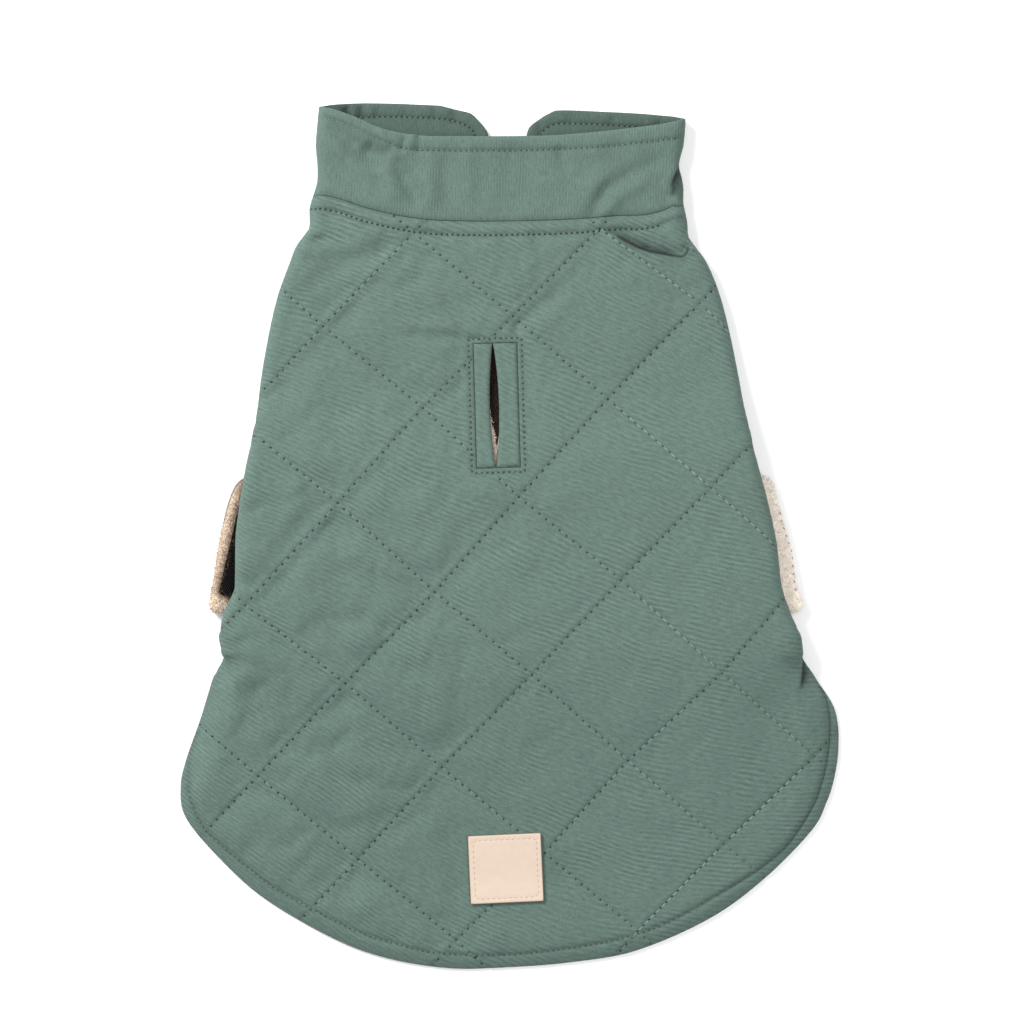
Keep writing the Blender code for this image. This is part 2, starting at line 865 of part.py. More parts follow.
def chest_flap(side, name, material):
    """Half of the chest, from its side seam to the front edge."""
    lower = curve(FLAP["along"], FLAP["lower"])
    front = FRONT_EDGES[0 if side < 0 else 1]
    seam = [(folded(u, v, SHELL_OUT)[0], v) for u, v in return_line(side, AIR, FLAP_FOOT)]
    foot, neck = seam[0], seam[-1][1]
    low = [(foot[0] + (front - foot[0]) * a, foot[1] + lower(a)) for a in np.linspace(0, 1, 13)]
    up = [(front, v) for v in np.linspace(foot[1] + lower(1), neck, 8)[1:]]
    top = [(x, neck) for x in np.linspace(front, seam[-1][0], 11)[1:]]
    rim = np.array(low + up + top + seam[-2:0:-1])
    if side > 0:
        rim = rim[::-1]
    points = sprinkle([rim], COARSE_STEP, 4)
    return cloth(name, material, [rim], laid_at(SHELL), laid_at(0), points, points)


def unrolled(side, x, v):
    """Where a place on the layer underneath lies in the pattern."""
    return 2 * fold_start(side, v) + side * TURN - x


def collar_outline():
    """The collar's outline: one band over the nape, round both sides and along the throat to its ends."""
    left = curve(THROAT_LEFT["x"], THROAT_LEFT["y"])
    right = curve(THROAT_RIGHT["x"], THROAT_RIGHT["y"])
    level = COLLAR_LEVEL
    starts = {side: fold_start(side, level) for side in (-1, 1)}
    edge = [(u, nape_edge(u)) for u in np.linspace(starts[-1], starts[1], 22)]
    arm_right = [(unrolled(1, x, level), right(x)) for x in arm_places(THROAT_RIGHT["x"])]
    arm_left = [(unrolled(-1, x, level), left(x)) for x in arm_places(THROAT_LEFT["x"])]
    low_left, low_right = THROAT_LEFT["y"][0], THROAT_RIGHT["y"][-1]
    turn_left = [(starts[-1] - TURN * t, edge[0][1] * (1 - t) + low_left * t) for t in COLLAR_TURN]
    turn_right = [(starts[1] + TURN * t, edge[-1][1] * (1 - t) + low_right * t) for t in COLLAR_TURN]
    free = arm_left[::-1] + turn_left[::-1] + edge + turn_right + arm_right[::-1]
    ends = {side: unrolled(side, FRONT_EDGES[0 if side < 0 else 1], NECK_LEVEL) for side in (-1, 1)}
    lows = {side: neck_height(ends[side], NECK_LEVEL) + AIR for side in (-1, 1)}
    down_left = [(ends[-1], v) for v in np.linspace(COLLAR_ENDS_TOP, lows[-1], 4)]
    up_right = [(ends[1], v) for v in np.linspace(lows[1], COLLAR_ENDS_TOP, 4)]
    seam = neck_line(ends[-1], ends[1], AIR)
    return np.array(down_left + seam + up_right + free[::-1])


def arm_places(xs, count=12):
    """Places along a throat arm, closer together towards its rounded end."""
    return np.interp(np.linspace(0, len(xs) - 1, count), range(len(xs)), xs)


def collar(material):
    rim = collar_outline()
    around = fold_points(NECK_LEVEL + AIR, COLLAR_LEVEL, FINE_STEP)
    plain = [p for p in sprinkle([rim], FINE_STEP, RIM_CLEAR) if not 0 < turned_under(*p) < math.pi]
    plain = [p for p in plain if min(distance(p, np.array([q, q])) for q in around) > FOLD_CLEAR]
    points = clear_points(plain + around, [rim], RIM_CLEAR)
    return cloth(
        "collar",
        material,
        [rim],
        lambda u, v: folded(u, v, SHELL_OUT, collar_relief(u, v)),
        lambda u, v: folded(u, v, SHELL_IN),
        points,
        points,
    )


def collar_relief(u, v):
    """The soft folds on the collar's nape side."""
    return soft_folds(u, v) * fading(turned_under(u, v), 0, 1)


def welts(material):
    """The two welts that fill the slit's window, each with one curved lip."""
    half_x, half_y = SLIT_SIZE[0] / 2 - AIR, SLIT_SIZE[1] / 2 - AIR
    left, right = slit_mouth(SLIT_MOUTH, 2 * half_y, 9)
    right = [left[-1]] + right + [left[0]]
    rows = np.linspace(-half_y, half_y, len(left))
    left_rim = [(x - WELT_GAP, y) for x, y in left] + [(-half_x, y) for y in rows[::-1]]
    right_rim = [(x + WELT_GAP, y) for x, y in right] + [(half_x, y) for y in rows]
    for name, rim in (("slit_welt_left", left_rim), ("slit_welt_right", right_rim)):
        rim = tilted(rim, SLIT_AT, SLIT_TILT)
        cloth(
            name,
            material,
            [rim],
            lambda u, v: body(u, v, SHELL_OUT, WELT_PROUD),
            lambda u, v: body(u, v, SHELL_IN + AIR),
        )


def patch(material):
    rim = turned(PATCH_SIZE, PATCH_AT, PATCH_TILT, PATCH_CORNER, 12)
    seat = PATCH_SEAT + AIR
    return cloth(
        "leather_patch",
        material,
        [rim],
        lambda u, v: body(u, v, SHELL_OUT, seat + LEATHER),
        lambda u, v: body(u, v, SHELL_OUT, seat),
    )


def tape(name, material, at, tilt, height):
    rim = turned(TAPE_SIZE, at, tilt, TAPE_CORNER, 12)
    return cloth(name, material, [rim], laid_at(height + TAPE), laid_at(height))


def make_material(name):
    colour, roughness = COLOURS[name]
    material = bpy.data.materials.new(name)
    material.use_nodes = True
    shader = material.node_tree.nodes["Principled BSDF"]
    shader.inputs["Base Color"].default_value = colour
    shader.inputs["Roughness"].default_value = roughness
    shader.inputs["Metallic"].default_value = 0
    return material


def settle(pieces):
    """Moves every piece so that the origin is under the middle of the coat's box."""
    points = np.array([v.co for piece in pieces for v in piece.data.vertices])
    low, high = points.min(0), points.max(0)
    shift = np.array([(low[0] + high[0]) / 2, (low[1] + high[1]) / 2, low[2]])
    for piece in pieces:
        for vertex in piece.data.vertices:
            vertex.co = [c - s for c, s in zip(vertex.co, shift)]


def main():
    for thing in list(bpy.data.objects):
        bpy.data.objects.remove(thing, do_unlink=True)
    collection = bpy.data.collections.new(NAME)
    bpy.context.scene.collection.children.link(collection)
    finish = {name: make_material(name) for name in COLOURS}
    back_shell(finish["quilted_shell"])
    back_lining(finish["fleece"])
    wing(-1, ("left_wing_shell", "left_wing_lining"), finish["quilted_shell"], finish["fleece"])
    wing(1, ("right_wing_shell", "right_wing_lining"), finish["quilted_shell"], finish["fleece"])
    chest_flap(-1, "left_chest_flap", finish["quilted_shell"])
    chest_flap(1, "right_chest_flap", finish["quilted_shell"])
    collar(finish["quilted_shell"])
    welts(finish["quilted_shell"])
    patch(finish["patch_leather"])
    tape("hook_tape", finish["black_tape"], HOOK_TAPE_AT, -TAPE_TILT, WING_TOP + AIR)
    tape("loop_tape", finish["green_tape"], LOOP_TAPE_AT, TAPE_TILT, 0)
    settle(list(collection.objects))


main()
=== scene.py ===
"""The looks of a small dog's quilted winter coat, laid flat with its back up.

Patterns are cut flat in millimetres, in u and v, and then placed round the coat's form: on top of the coat
u is x and v is y, and past a side fold u runs on round the fold and back inwards underneath.
"""

import math

import bpy
import numpy as np
from mathutils.geometry import delaunay_2d_cdt
from mathutils.kdtree import KDTree
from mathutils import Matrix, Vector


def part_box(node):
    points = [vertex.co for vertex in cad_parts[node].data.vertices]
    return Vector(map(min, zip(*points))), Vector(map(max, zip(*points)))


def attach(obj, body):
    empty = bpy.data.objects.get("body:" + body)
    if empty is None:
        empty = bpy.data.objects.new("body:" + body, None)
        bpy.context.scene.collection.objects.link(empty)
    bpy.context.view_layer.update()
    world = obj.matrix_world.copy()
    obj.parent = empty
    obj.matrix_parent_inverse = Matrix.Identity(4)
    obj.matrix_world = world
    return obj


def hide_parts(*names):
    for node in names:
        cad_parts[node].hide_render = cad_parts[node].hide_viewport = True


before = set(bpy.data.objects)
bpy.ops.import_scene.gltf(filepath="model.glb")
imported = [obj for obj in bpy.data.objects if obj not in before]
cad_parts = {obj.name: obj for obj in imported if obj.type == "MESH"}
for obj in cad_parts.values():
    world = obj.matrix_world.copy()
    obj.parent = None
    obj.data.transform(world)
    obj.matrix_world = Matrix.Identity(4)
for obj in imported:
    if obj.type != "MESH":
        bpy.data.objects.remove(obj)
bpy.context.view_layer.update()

MM = 0.001
BODY = "root"


def table(columns, *rows):
    """A table with named columns, as one array for each column."""
    return dict(zip(columns.split(), np.array(rows, float).T))


# ---- sizes of the coat, in millimetres ----

SHELL = 2.2
LINING = 2.4
AIR = 0.3
SNUG = 0.12
WING_SHELL = 1.8
WING_LINING = 2.0
TAPE = 1.0
LEATHER = 1.3

CORE = 0.25
LINING_IN = 0.0
LINING_OUT = LINING
SHELL_IN = LINING_OUT + AIR
SHELL_OUT = SHELL_IN + SHELL
FOLD = CORE + SHELL_OUT
TURN = math.pi * FOLD

WING_TOP = WING_SHELL + AIR + WING_LINING
OVER_WING = WING_TOP + AIR
OVER_TAPE = WING_TOP + AIR + TAPE + AIR

SIDES = table(
    "y left right",
    (192, -83.2, 78.2), (183, -84.2, 78.1), (172, -85.0, 77.2), (163.5, -84.3, 75.2), (158, -84.2, 76.4),
    (153, -85.2, 77.2), (147, -87.1, 77.1), (143.5, -87.8, 77.8), (136.5, -87.7, 79.0),
    (133, -89.8, 79.1), (127.6, -93.7, 82.3), (121, -96.3, 87.2), (104, -102.3, 93.9), (86, -106.3, 98.3),
    (68, -109.3, 101.9), (51, -111.2, 104.9), (33, -115.1, 109.4), (15, -118.2, 114.2),
    (-3, -120.2, 118.0), (-22, -120.4, 120.3), (-33, -125.0, 123.8), (-42, -126.8, 127.5),
    (-52, -125.5, 129.2), (-66, -120.6, 130.0),
)
REST = table(
    "y height",
    (192, 0), (48, 0), (30, OVER_TAPE), (-38.5, OVER_TAPE), (-45, 0), (-66, 0),
)
SPREAD = table(
    "y middle side",
    (192, 5.4, 5.4), (78, 5.4, 5.4), (58, 6.6, 5.4), (34, 9.6, 5.4), (20, 10.4, 5.4), (-47, 10.4, 5.4),
    (-60, 9.6, 5.0), (-76, 7.7, 4.1), (-92, 5.8, 3.1), (-108, 4.0, 2.1), (-124, 2.3, 1.2),
    (-140, 0.9, 0.4), (-154, 0, 0), (-195, 0, 0),
)
MIDDLE_REACH = 40
DROP_EASED_OVER = 44.0
RISE_EASED_OVER = 50.0

NOTCH = -52
HEM = table(
    "x y",
    (-126.2, -52), (-130.6, -63.4), (-136.1, -81), (-142.3, -98.6), (-144.8, -111), (-142.4, -124.6),
    (-127.4, -142.6), (-107.6, -160.2), (-77.2, -177.8), (-53, -186.6), (-25.7, -190.9), (0.7, -190.4),
    (27.1, -188.3), (56, -183.2), (88.7, -169), (112.9, -151.4), (134.0, -129.9), (140.6, -117.2),
    (143.4, -108.8), (145.3, -98.8), (145.8, -88.4), (145.3, -82.2), (143.8, -76), (140.4, -69.8),
    (136, -63.5), (129.6, -52),
)
HEM_SLOPE = 15.0
SKIRT_OPENS_OVER = 10.0
LINING_INSET = 8.5
LINING_THINNED = 1.1
LINING_TURN = ((-0.7, -8), (-0.6, 4), (-0.3, 13), (0.2, 18), (1.0, 20))
STAYS_FOLDED = (0.7, 0.95)

NECK = table(
    "x y",
    (-82, 150), (-75, 148.4), (-61.8, 144.1), (-45.5, 140.5), (-30.1, 138.8), (-9, 138.4), (9.9, 138.7),
    (27.1, 139.3), (40.6, 140.3), (48.2, 140.9), (58.7, 141.1), (64, 142.0), (69.3, 143.7), (74.6, 146.6),
)
NECK_BAND = 6.0
NECK_LEVEL = 148
RETURN = table(
    "y width",
    (152, 9), (60, 9), (44, 6), (-30, 6), (-43, 8), (-60, 8),
)
RETURN_FOOT = -60
RETURN_STEP = 8.0
STRAP_ROWS = 3
FLAP_FOOT = 48

# The stitched hem, from the left lobe round the tail to the right lobe.
HEM_STITCHING = table(
    "x y",
    (-137.2, -87.1), (-139.9, -94.6), (-140.9, -104.3), (-140.8, -112.2), (-139.6, -118),
    (-137.1, -124.4), (-131.3, -132.4), (-113.7, -147.4), (-104.4, -154.6), (-82.4, -166.8),
    (-65.3, -175.1), (-47.7, -180.6), (-34.5, -183.8), (-16.9, -185.0), (-3.7, -185.0), (13.9, -183.7),
    (40.3, -179.8), (57.9, -175.3), (66.7, -172.2), (75.5, -168.1), (84.3, -163.2), (101.9, -152.7),
    (113.3, -145.0), (121.7, -137.8), (128.3, -129.2), (134.9, -118.0), (137.9, -109.6), (140.1, -101.1),
    (141.6, -89.8), (141.6, -79.6), (140.0, -71.5), (136.6, -65),
)

# The quilting: where its stitched lines cross, counted in squares along its two directions.
QUILT_AT = (5.9, 17.5)
QUILT_STEPS = (57.1, 56.5)
QUILT_ANGLES = (-40.9, -133.3)
QUILT_CELLS = range(-6, 7)
QUILT_SHIFTS = table(
    "a b x y",
    (0, 0, -1.3, -0.4),
    (-1, 0, -0.4, 1.4),
    (-2, 0, -1.2, 0),
    (1, 0, 0.4, 0.5),
    (2, 0, 1.7, -3.0),
    (3, 0, -0.5, -2.5),
    (0, -1, -0.9, 1.6),
    (0, -2, 0.8, 2.7),
    (0, 1, 0.5, -1.0),
    (1, -1, 1.1, -0.1),
    (-1, -1, 0.5, 0.7),
    (-1, -2, 0, -1.8),
    (-1, 1, 1.0, 0.7),
    (-1, 2, -0.8, -3.0),
    (1, 2, -0.9, 0.2),
    (1, 3, 0.9, 0.6),
    (2, 1, -0.9, -0.5),
    (2, 2, 1.3, -0.3),
    (2, 3, 0.9, 2.4),
    (3, 1, -1.8, -0.1),
    (3, 2, -0.9, 2.6),
)
QUILT_PUFF = 2.0
QUILT_SHOULDER = 17.0
QUILT_ROUND = 2.3
QUILT_FADE = 12.0
QUILT_PITCH = 3.8
SEAM_PITCH = 2.4

# The collar's free edge, over the nape and along the two throat arms below it.
NAPE = table(
    "x y",
    (-84, 189.8), (-76, 187.6), (-66.7, 184.2), (-57.4, 180), (-45.5, 177.2), (-32, 176), (-9, 176),
    (14, 176.2), (39.4, 178.0), (57, 180.0), (66.7, 181.3), (73.7, 182.7), (78, 183.5),
)
THROAT_LEFT = table(
    "x y",
    (-79, 190.3), (-74, 190.7), (-62.7, 191.1), (-50.4, 190.9), (-38.1, 190.4), (-31, 190.1),
    (-25.7, 188.9), (-21.3, 187.8), (-16.9, 186.7), (-13.4, 183.6), (-10.8, 180.6), (-9.2, 177.9),
    (-8.7, 175.5),
)
THROAT_RIGHT = table(
    "x y",
    (7.5, 175.5), (9.0, 180.1), (13.0, 183.6), (17.4, 186.3), (21.3, 187.9), (24.4, 188.0), (40.3, 187.4),
    (57.9, 186.5), (73, 185.2),
)
COLLAR_LEVEL = 186
COLLAR_TURN = (0.33, 0.67)
COLLAR_ENDS_TOP = 174
FRONT_EDGES = (-9.0, 7.7)
NAPE_STITCHING = ((-81, 184.5), (-70, 180.4), (-60, 175.8), (-52.6, 172.9), (-43.3, 170.3), (-30.1, 169.7))
NAPE_STITCHING += ((-9, 169.6), (9.9, 169.8), (39.4, 171.2), (57, 172.9), (73, 174.8))
THROAT_STITCHING_LEFT = ((-76, 185.2), (-66.7, 184.9), (-47.7, 184.9), (-34.5, 184.4), (-25.7, 183.5))
THROAT_STITCHING_LEFT += ((-19.6, 181.5), (-16.1, 179.0), (-15.0, 176), (-14.8, 160))
THROAT_STITCHING_RIGHT = ((13.8, 160), (14.0, 172), (14.9, 177.9), (17.6, 180.4), (22.0, 181.9))
THROAT_STITCHING_RIGHT += ((31.5, 181.9), (44.7, 181.3), (57.9, 180.4), (68, 179.6))

# A belly strap, from its root seam to its end across the coat.
STRAP = table(
    "along lower upper",
    (0, -60, -44), (0.07, -58.8, -40.8), (0.14, -57.3, -38.8), (0.24, -55, -30), (0.46, -48.5, -8),
    (0.74, -39.5, 13), (0.9, -34.8, 22), (1, -33.6, 26.5),
)
STRAP_ENDS = table("lower_x upper_x", (-132.4, -117.5), (129.2, 115.0))
STRAP_TIP = table(
    "along left right",
    (0.05, 0.4, 1.3), (0.11, 0.7, 1.2), (0.16, 0.9, 0.6), (0.31, 1.8, 0.8), (0.44, 2.5, 1.2),
    (0.6, 3.1, 1.4), (0.75, 3.5, 1.1), (0.88, 2.8, 0.7), (0.95, 1.4, 0.3),
)
STRAP_CORNER = (1.6, 0.3)
STRAP_END_STITCHING = ((119.5, 11.7), (120.5, 6.5), (122.9, -1.3), (124.9, -6.5), (125.3, -12))
STRAP_END_STITCHING += ((126.2, -21.6), (126.8, -25.2))
STRAP_END_PITCH = 3.4
FLEECE_INSET = 0.7
CROSSING = table(
    "x height",
    (-130, 0), (-108, 0), (-86, OVER_WING), (80, OVER_WING), (100, TAPE + AIR), (130, TAPE + AIR),
)
FLAP = table(
    "along lower",
    (0, 0), (0.12, 9), (0.35, 19), (0.7, 25), (0.9, 28), (1, 38),
)

# The leash slit between the shoulders.
SLIT_AT = (-5.1, 57.4)
SLIT_SIZE = (19.4, 55.0)
SLIT_TILT = 1.6
SLIT_MOUTH = 3.8
SLIT_MOUTH_AT = -1.1
SLIT_FRAME = 2.0
SLIT_SEAT = (0.25, 2.0, 12.0)
WELT_PROUD = 0.5
WELT_GAP = 0.12
LINING_SLIT = (5.2, 50.0)
LINING_SLIT_UP = 2.5

PATCH_AT = (-1.2, -146.5)
PATCH_SIZE = (32.3, 30.3)
PATCH_TILT = 2.6
PATCH_CORNER = 0.6
PATCH_SEAT = 0.8
PATCH_SEAT_EDGE = (3.0, 10.5)
PATCH_STITCHING = 2.2

HOOK_TAPE_AT = (-113.5, -8.0)
LOOP_TAPE_AT = (112.0, -6.5)
TAPE_SIZE = (20.0, 41.0)
TAPE_TILT = 13.0
TAPE_CORNER = 2.0

# Creases, folds and soft swellings: troughs below and ridges above the cloth, each along a line.
CREASES = table(
    "x0 y0 x1 y1 height width",
    (-88, 129.4, -79.5, 130.6, -2.3, 2.1),
    (-79, 124, -63, 121, -0.7, 2.6),
    (-77, 127.5, -62, 126, 0.5, 2.4),
    (-90, 125, -78, 126, 0.9, 3.5),
    (-73, 118.2, -47, 129.2, -1.2, 4.5),
    (-72, 112, -46, 123, 0.8, 5),
    (-46, 88.6, -30, 87.6, -0.8, 2.6),
    (-30, 87.6, -14, 86.6, -1.2, 1.8),
    (-44, 92.5, -13, 91, 0.7, 3),
    (24, 108.6, 5, 94.2, -1.2, 2.4),
    (5, 94.2, 3, 88.6, -1.1, 2.0),
    (29, 105, 11, 90, 0.8, 4),
    (-24, 131, -21, 120, 0.7, 2.6),
    (8, 131, 11, 119, 0.8, 2.6),
    (12, 131, 15, 118, -0.6, 2.2),
    (-106, -92, -63, -46, 0.7, 6),
    (-100, -20, -96, -44, -0.6, 5),
    (-50, 165, -45.4, 158, -1.2, 3.2),
    (-45.4, 158, -39.8, 146.5, -1.0, 3.0),
    (-37, 160, -33, 147, 0.8, 3.6),
    (-56, 162, -49, 150, 0.6, 3.6),
    (-63, 170.5, -54, 165.5, -1.6, 4.4),
    (-57, 179, -53.5, 172, 0.6, 1.8),
    (-45.2, 177.5, -47.2, 170, -0.9, 1.1),
    (-39.6, 177, -39.5, 169.5, -0.9, 1.0),
    (-28, 164, -26, 148, -0.5, 3),
    (-18, 168, -17, 150, 0.4, 3),
    (-75.9, 179, -60, 166.5, -0.8, 3.4),
    (-72, 171, -55, 155.5, -0.7, 3.6),
    (-78, 165, -64, 151, -0.5, 4),
    (-76, 172, -60, 159, 0.6, 3.4),
    (36.4, 140.6, 42.4, 152.2, -1.0, 2.8),
    (42.0, 151.4, 54.5, 159.9, -0.75, 3.0),
    (54, 159.6, 67, 165.2, -0.6, 3.4),
    (41, 141, 47.6, 149, 0.8, 3),
    (47, 149, 60, 156.4, 0.6, 3.2),
    (34, 151, 45, 161, 0.5, 4),
    (22.6, 170, 25.6, 161, -0.7, 2.6),
    (18, 153, 22, 143, -0.5, 4.5),
    (9, 168, 11, 148, -0.35, 4),
    (66, 158, 71, 146, -0.6, 3),
)
# Where one fold of cloth stands over what is beside it: the upper fold is to the right of each line.
SHOULDER_LEDGE = ((39, 137), (45.3, 132.9), (55.5, 127.4), (61.6, 125.2), (66, 124.2), (71.7, 123.2))
SHOULDER_LEDGE += ((76.4, 122.7), (78.5, 124.2), (79.4, 127), (79.8, 129.8))
LEFT_NOTCH_LEDGE = ((-119.6, -68.5), (-121.2, -63.8), (-123.9, -55.4), (-126.4, -49))
RIGHT_NOTCH_LEDGE = ((129.4, -49), (129.6, -55.4), (129.1, -63.4), (127, -70))
COLLAR_LEDGE = ((76.3, 166), (75.0, 161.7), (73.4, 158), (71.9, 154.1), (70.8, 150.4), (70, 148))
# Pleats of the collar's throat side, where it lies below.
THROAT_CREASES = table(
    "x0 y0 x1 y1 height width",
    (-72.6, 190, -71.2, 184, -1.5, 1.3),
    (-69.2, 190, -68.4, 184, 0.7, 1.5),
    (-65.8, 190.5, -65, 183, -1.3, 1.4),
    (-58.7, 190.5, -58.2, 184.5, -0.9, 1.4),
    (-46, 190, -46, 185, -0.5, 1.2),
    (-33.2, 190, -33, 184, -0.9, 1.2),
    (-24.3, 188, -24, 182, -0.9, 1.5),
    (-41, 183, -40, 177, -0.5, 1.5),
    (-27, 182, -27, 177, -0.5, 1.3),
    (12.5, 185, 13.5, 177, -1.1, 1.6),
    (27, 187.5, 27.5, 182, -0.6, 1.3),
    (46, 187, 46, 181, -0.5, 1.3),
    (66, 186, 67, 180, -0.8, 1.6),
)
# How much of a ledge it takes to rise at its start and to fade at its end.
LEDGE_FADES = (0.3, 0.08)
NOTCH_FADES = (0.15, 0.5)
LEFT_NOTCH_FADES = (0.5, 0.15)
COLLAR_FADES = (0.25, 0.25)
SOFT_FOLDS_FADE_AT = (0.4, 1.4)
QUILT_FADES_AT = (0.3, 1.4)

# Stitched lines: how deep and wide their ditches and needle holes are, and how wide the holes' dark marks of
# painted shade.
QUILT_DITCH = (0.35, 0.9)
NECK_DITCH = (0.45, 1.0)
FRAME_DITCH = (0.22, 0.7)
COLLAR_DITCH = (0.4, 0.9)
PATCH_DITCH = (0.05, 0.5)
QUILT_HOLE = 0.38
QUILT_HOLE_WIDTH = 0.75
QUILT_MARK_WIDTH = 0.67
COLLAR_HOLE = 0.3
COLLAR_HOLE_WIDTH = 0.6
COLLAR_MARK_WIDTH = 0.62
PATCH_HOLE = 0.16
PATCH_HOLE_WIDTH = 0.4
# The long line of the quilting, which lies deepest.
LONG_LINE = ((90.9, 110.4), (-118.0, -116.0))

# Rows of fine points beside stitched lines, rims and ledges, and how fine the small things are.
STITCH_ROWS = (-0.75, 0.75)
FAR_ROWS = (-1.8, 1.8, -3.2, 3.2)
RIM_ROWS = (0.35, 0.9, 1.7)
HOLE_ROWS = (-0.35, -0.9, -1.5)
LEDGE_ROWS = (-2.4, -1.6, -0.9, -0.3, 0.3, 0.9, 1.6, 2.4)
STRAP_FINE_FROM = 92
STRAP_ROUGH_TO = 90
STRAP_PILE_FROM = 96
STRAND = 0.14
AT_ONCE = 3000
THREAD_RINGS = ((0.14, 0.7), (0.5, 1.0), (0.86, 0.7))
THREAD_SIDES = 5
FLAT_TRIANGLE = 0.002
WELT_POINTS = 45
STRAP_STRANDS = 14000
SLIT_STRANDS = 4200
HOOK_RINGS = ((0, -0.1, 1.2), (0.1, 0.35, 1), (0.4, 0.55, 0.8), (0.62, 0.35, 0.4))
HOOK_WIDTH = 0.16

# The camera's frame on the floor in millimetres; its own height, the lamps and the floor in metres.
FRAMED = 450.56
FRAMED_AT = (1.54, 10.56)
CAMERA_HEIGHT = 2.4
SENSOR = 36
LAMPS = (("key", (-1.13, 1.06, 1.27), 0.8, 50), ("fill", (0.6, -0.05, 1.65), 1.2, 15))
STUDIO_LIGHT = 0.42
FLOOR = "floor"
FLOOR_SIZE = 12
FLOOR_LEVEL = -0.0004
FLOOR_COLOUR = (0.93, 0.93, 0.93, 1)
FLOOR_GLOW = 0.15

GREEN = (0.0935, 0.1445, 0.123, 1)
COLLAR_GREEN = (0.0905, 0.1405, 0.1185, 1)
# The colour of painted shade on the straps' pile.
SHADED_PILE = (0.16, 0.085, 0.045, 1)
LEATHER_COLOURS = ((0.577, 0.466, 0.371, 1), (0.565, 0.453, 0.359, 1), (0.2, 0.12, 0.065, 1))


# ---- curves and distances ----


def curve(places, values):
    """A smooth function through the values at the places, which never overshoots them."""
    order = np.argsort(places)
    x, y = np.asarray(places)[order], np.asarray(values)[order]
    slope = np.diff(y) / np.diff(x)
    before, after = slope[:-1], slope[1:]
    flat = before * after <= 0
    bend = np.where(flat, 0, 2 * before * after / np.where(flat, 1, before + after))
    tangent = np.concatenate([slope[:1], bend, slope[-1:]])

    def at(place):
        p = np.clip(place, x[0], x[-1])
        i = np.clip(np.searchsorted(x, p) - 1, 0, len(slope) - 1)
        span = x[i + 1] - x[i]
        t = (p - x[i]) / span
        rise = y[i] * (1 + 2 * t) * (1 - t) ** 2 + y[i + 1] * t * t * (3 - 2 * t)
        return rise + span * (tangent[i] * t * (1 - t) ** 2 + tangent[i + 1] * t * t * (t - 1))

    return at


def ease(t):
    """0 to 1, with a soft start and end."""
    t = np.clip(t, 0.0, 1.0)
    return t * t * (3 - 2 * t)


def fading(value, start, end):
    """1 up to the start and 0 past the end, with a soft way down between them."""
    return 1 - ease((value - start) / (end - start))


def bell(x, width):
    """1 at 0 and 0 far from it, with a soft top."""
    return np.exp(-((x / width) ** 2))


def decay(x, width):
    """1 at 0 and 0 far from it, with a sharp top."""
    return np.exp(-x / width)


def pairs(u, v):
    """Points in a pattern, from where they lie along u and v."""
    return np.column_stack([u, v])


def ditch(far, depth, width):
    """How deep a stitched line lies, at a distance from it."""
    return depth * bell(far, width)


def lengths(path):
    """How far along a polyline each of its points is."""
    return np.concatenate([[0], np.cumsum(np.linalg.norm(np.diff(path, axis=0), axis=1))])


def spaced(path, step):
    """Points about step apart along a polyline, with both its ends: on a seam, one at each needle hole."""
    return divided(path, max(1, round(lengths(path)[-1] / step)))


def divided(path, parts):
    """A polyline's points at equal parts of its length."""
    path = np.asarray(path, float)
    far = lengths(path)
    at = np.linspace(0, far[-1], parts + 1)
    return np.stack([np.interp(at, far, path[:, k]) for k in range(2)], axis=1)


def spline(points, parts=8):
    """A dense polyline on a smooth curve that passes through each point."""
    p = np.asarray(points, float)
    p = np.vstack([2 * p[0] - p[1], p, 2 * p[-1] - p[-2]])
    t = np.arange(parts)[:, None] / parts
    out = []
    for a, b, c, d in zip(p, p[1:], p[2:], p[3:]):
        bend = 2 * a - 5 * b + 4 * c - d
        twist = 3 * b - a - 3 * c + d
        out.append(0.5 * (2 * b + (c - a) * t + bend * t**2 + twist * t**3))
    return np.vstack(out + [p[-2:-1]])


def line_of(columns):
    return pairs(columns["x"], columns["y"])


def closed(rim):
    return np.vstack([rim, rim[:1]])


def subdivided(path, step):
    """A polyline with points no further apart than a step, its own corners among them."""
    path = np.asarray(path, float)
    runs = []
    for a, b in zip(path, path[1:]):
        parts = max(1, math.ceil(np.linalg.norm(b - a) / step))
        runs.append(a + (b - a) * np.arange(parts)[:, None] / parts)
    return np.vstack(runs + [path[-1:]])


def search_tree(places):
    """A search for the nearest of some places, which gives its number for each point."""
    tree = KDTree(len(places))
    for k, (x, y) in enumerate(places):
        tree.insert((x, y, 0), k)
    tree.balance()
    return lambda points: np.array([tree.find((x, y, 0))[1] for x, y in points], int)


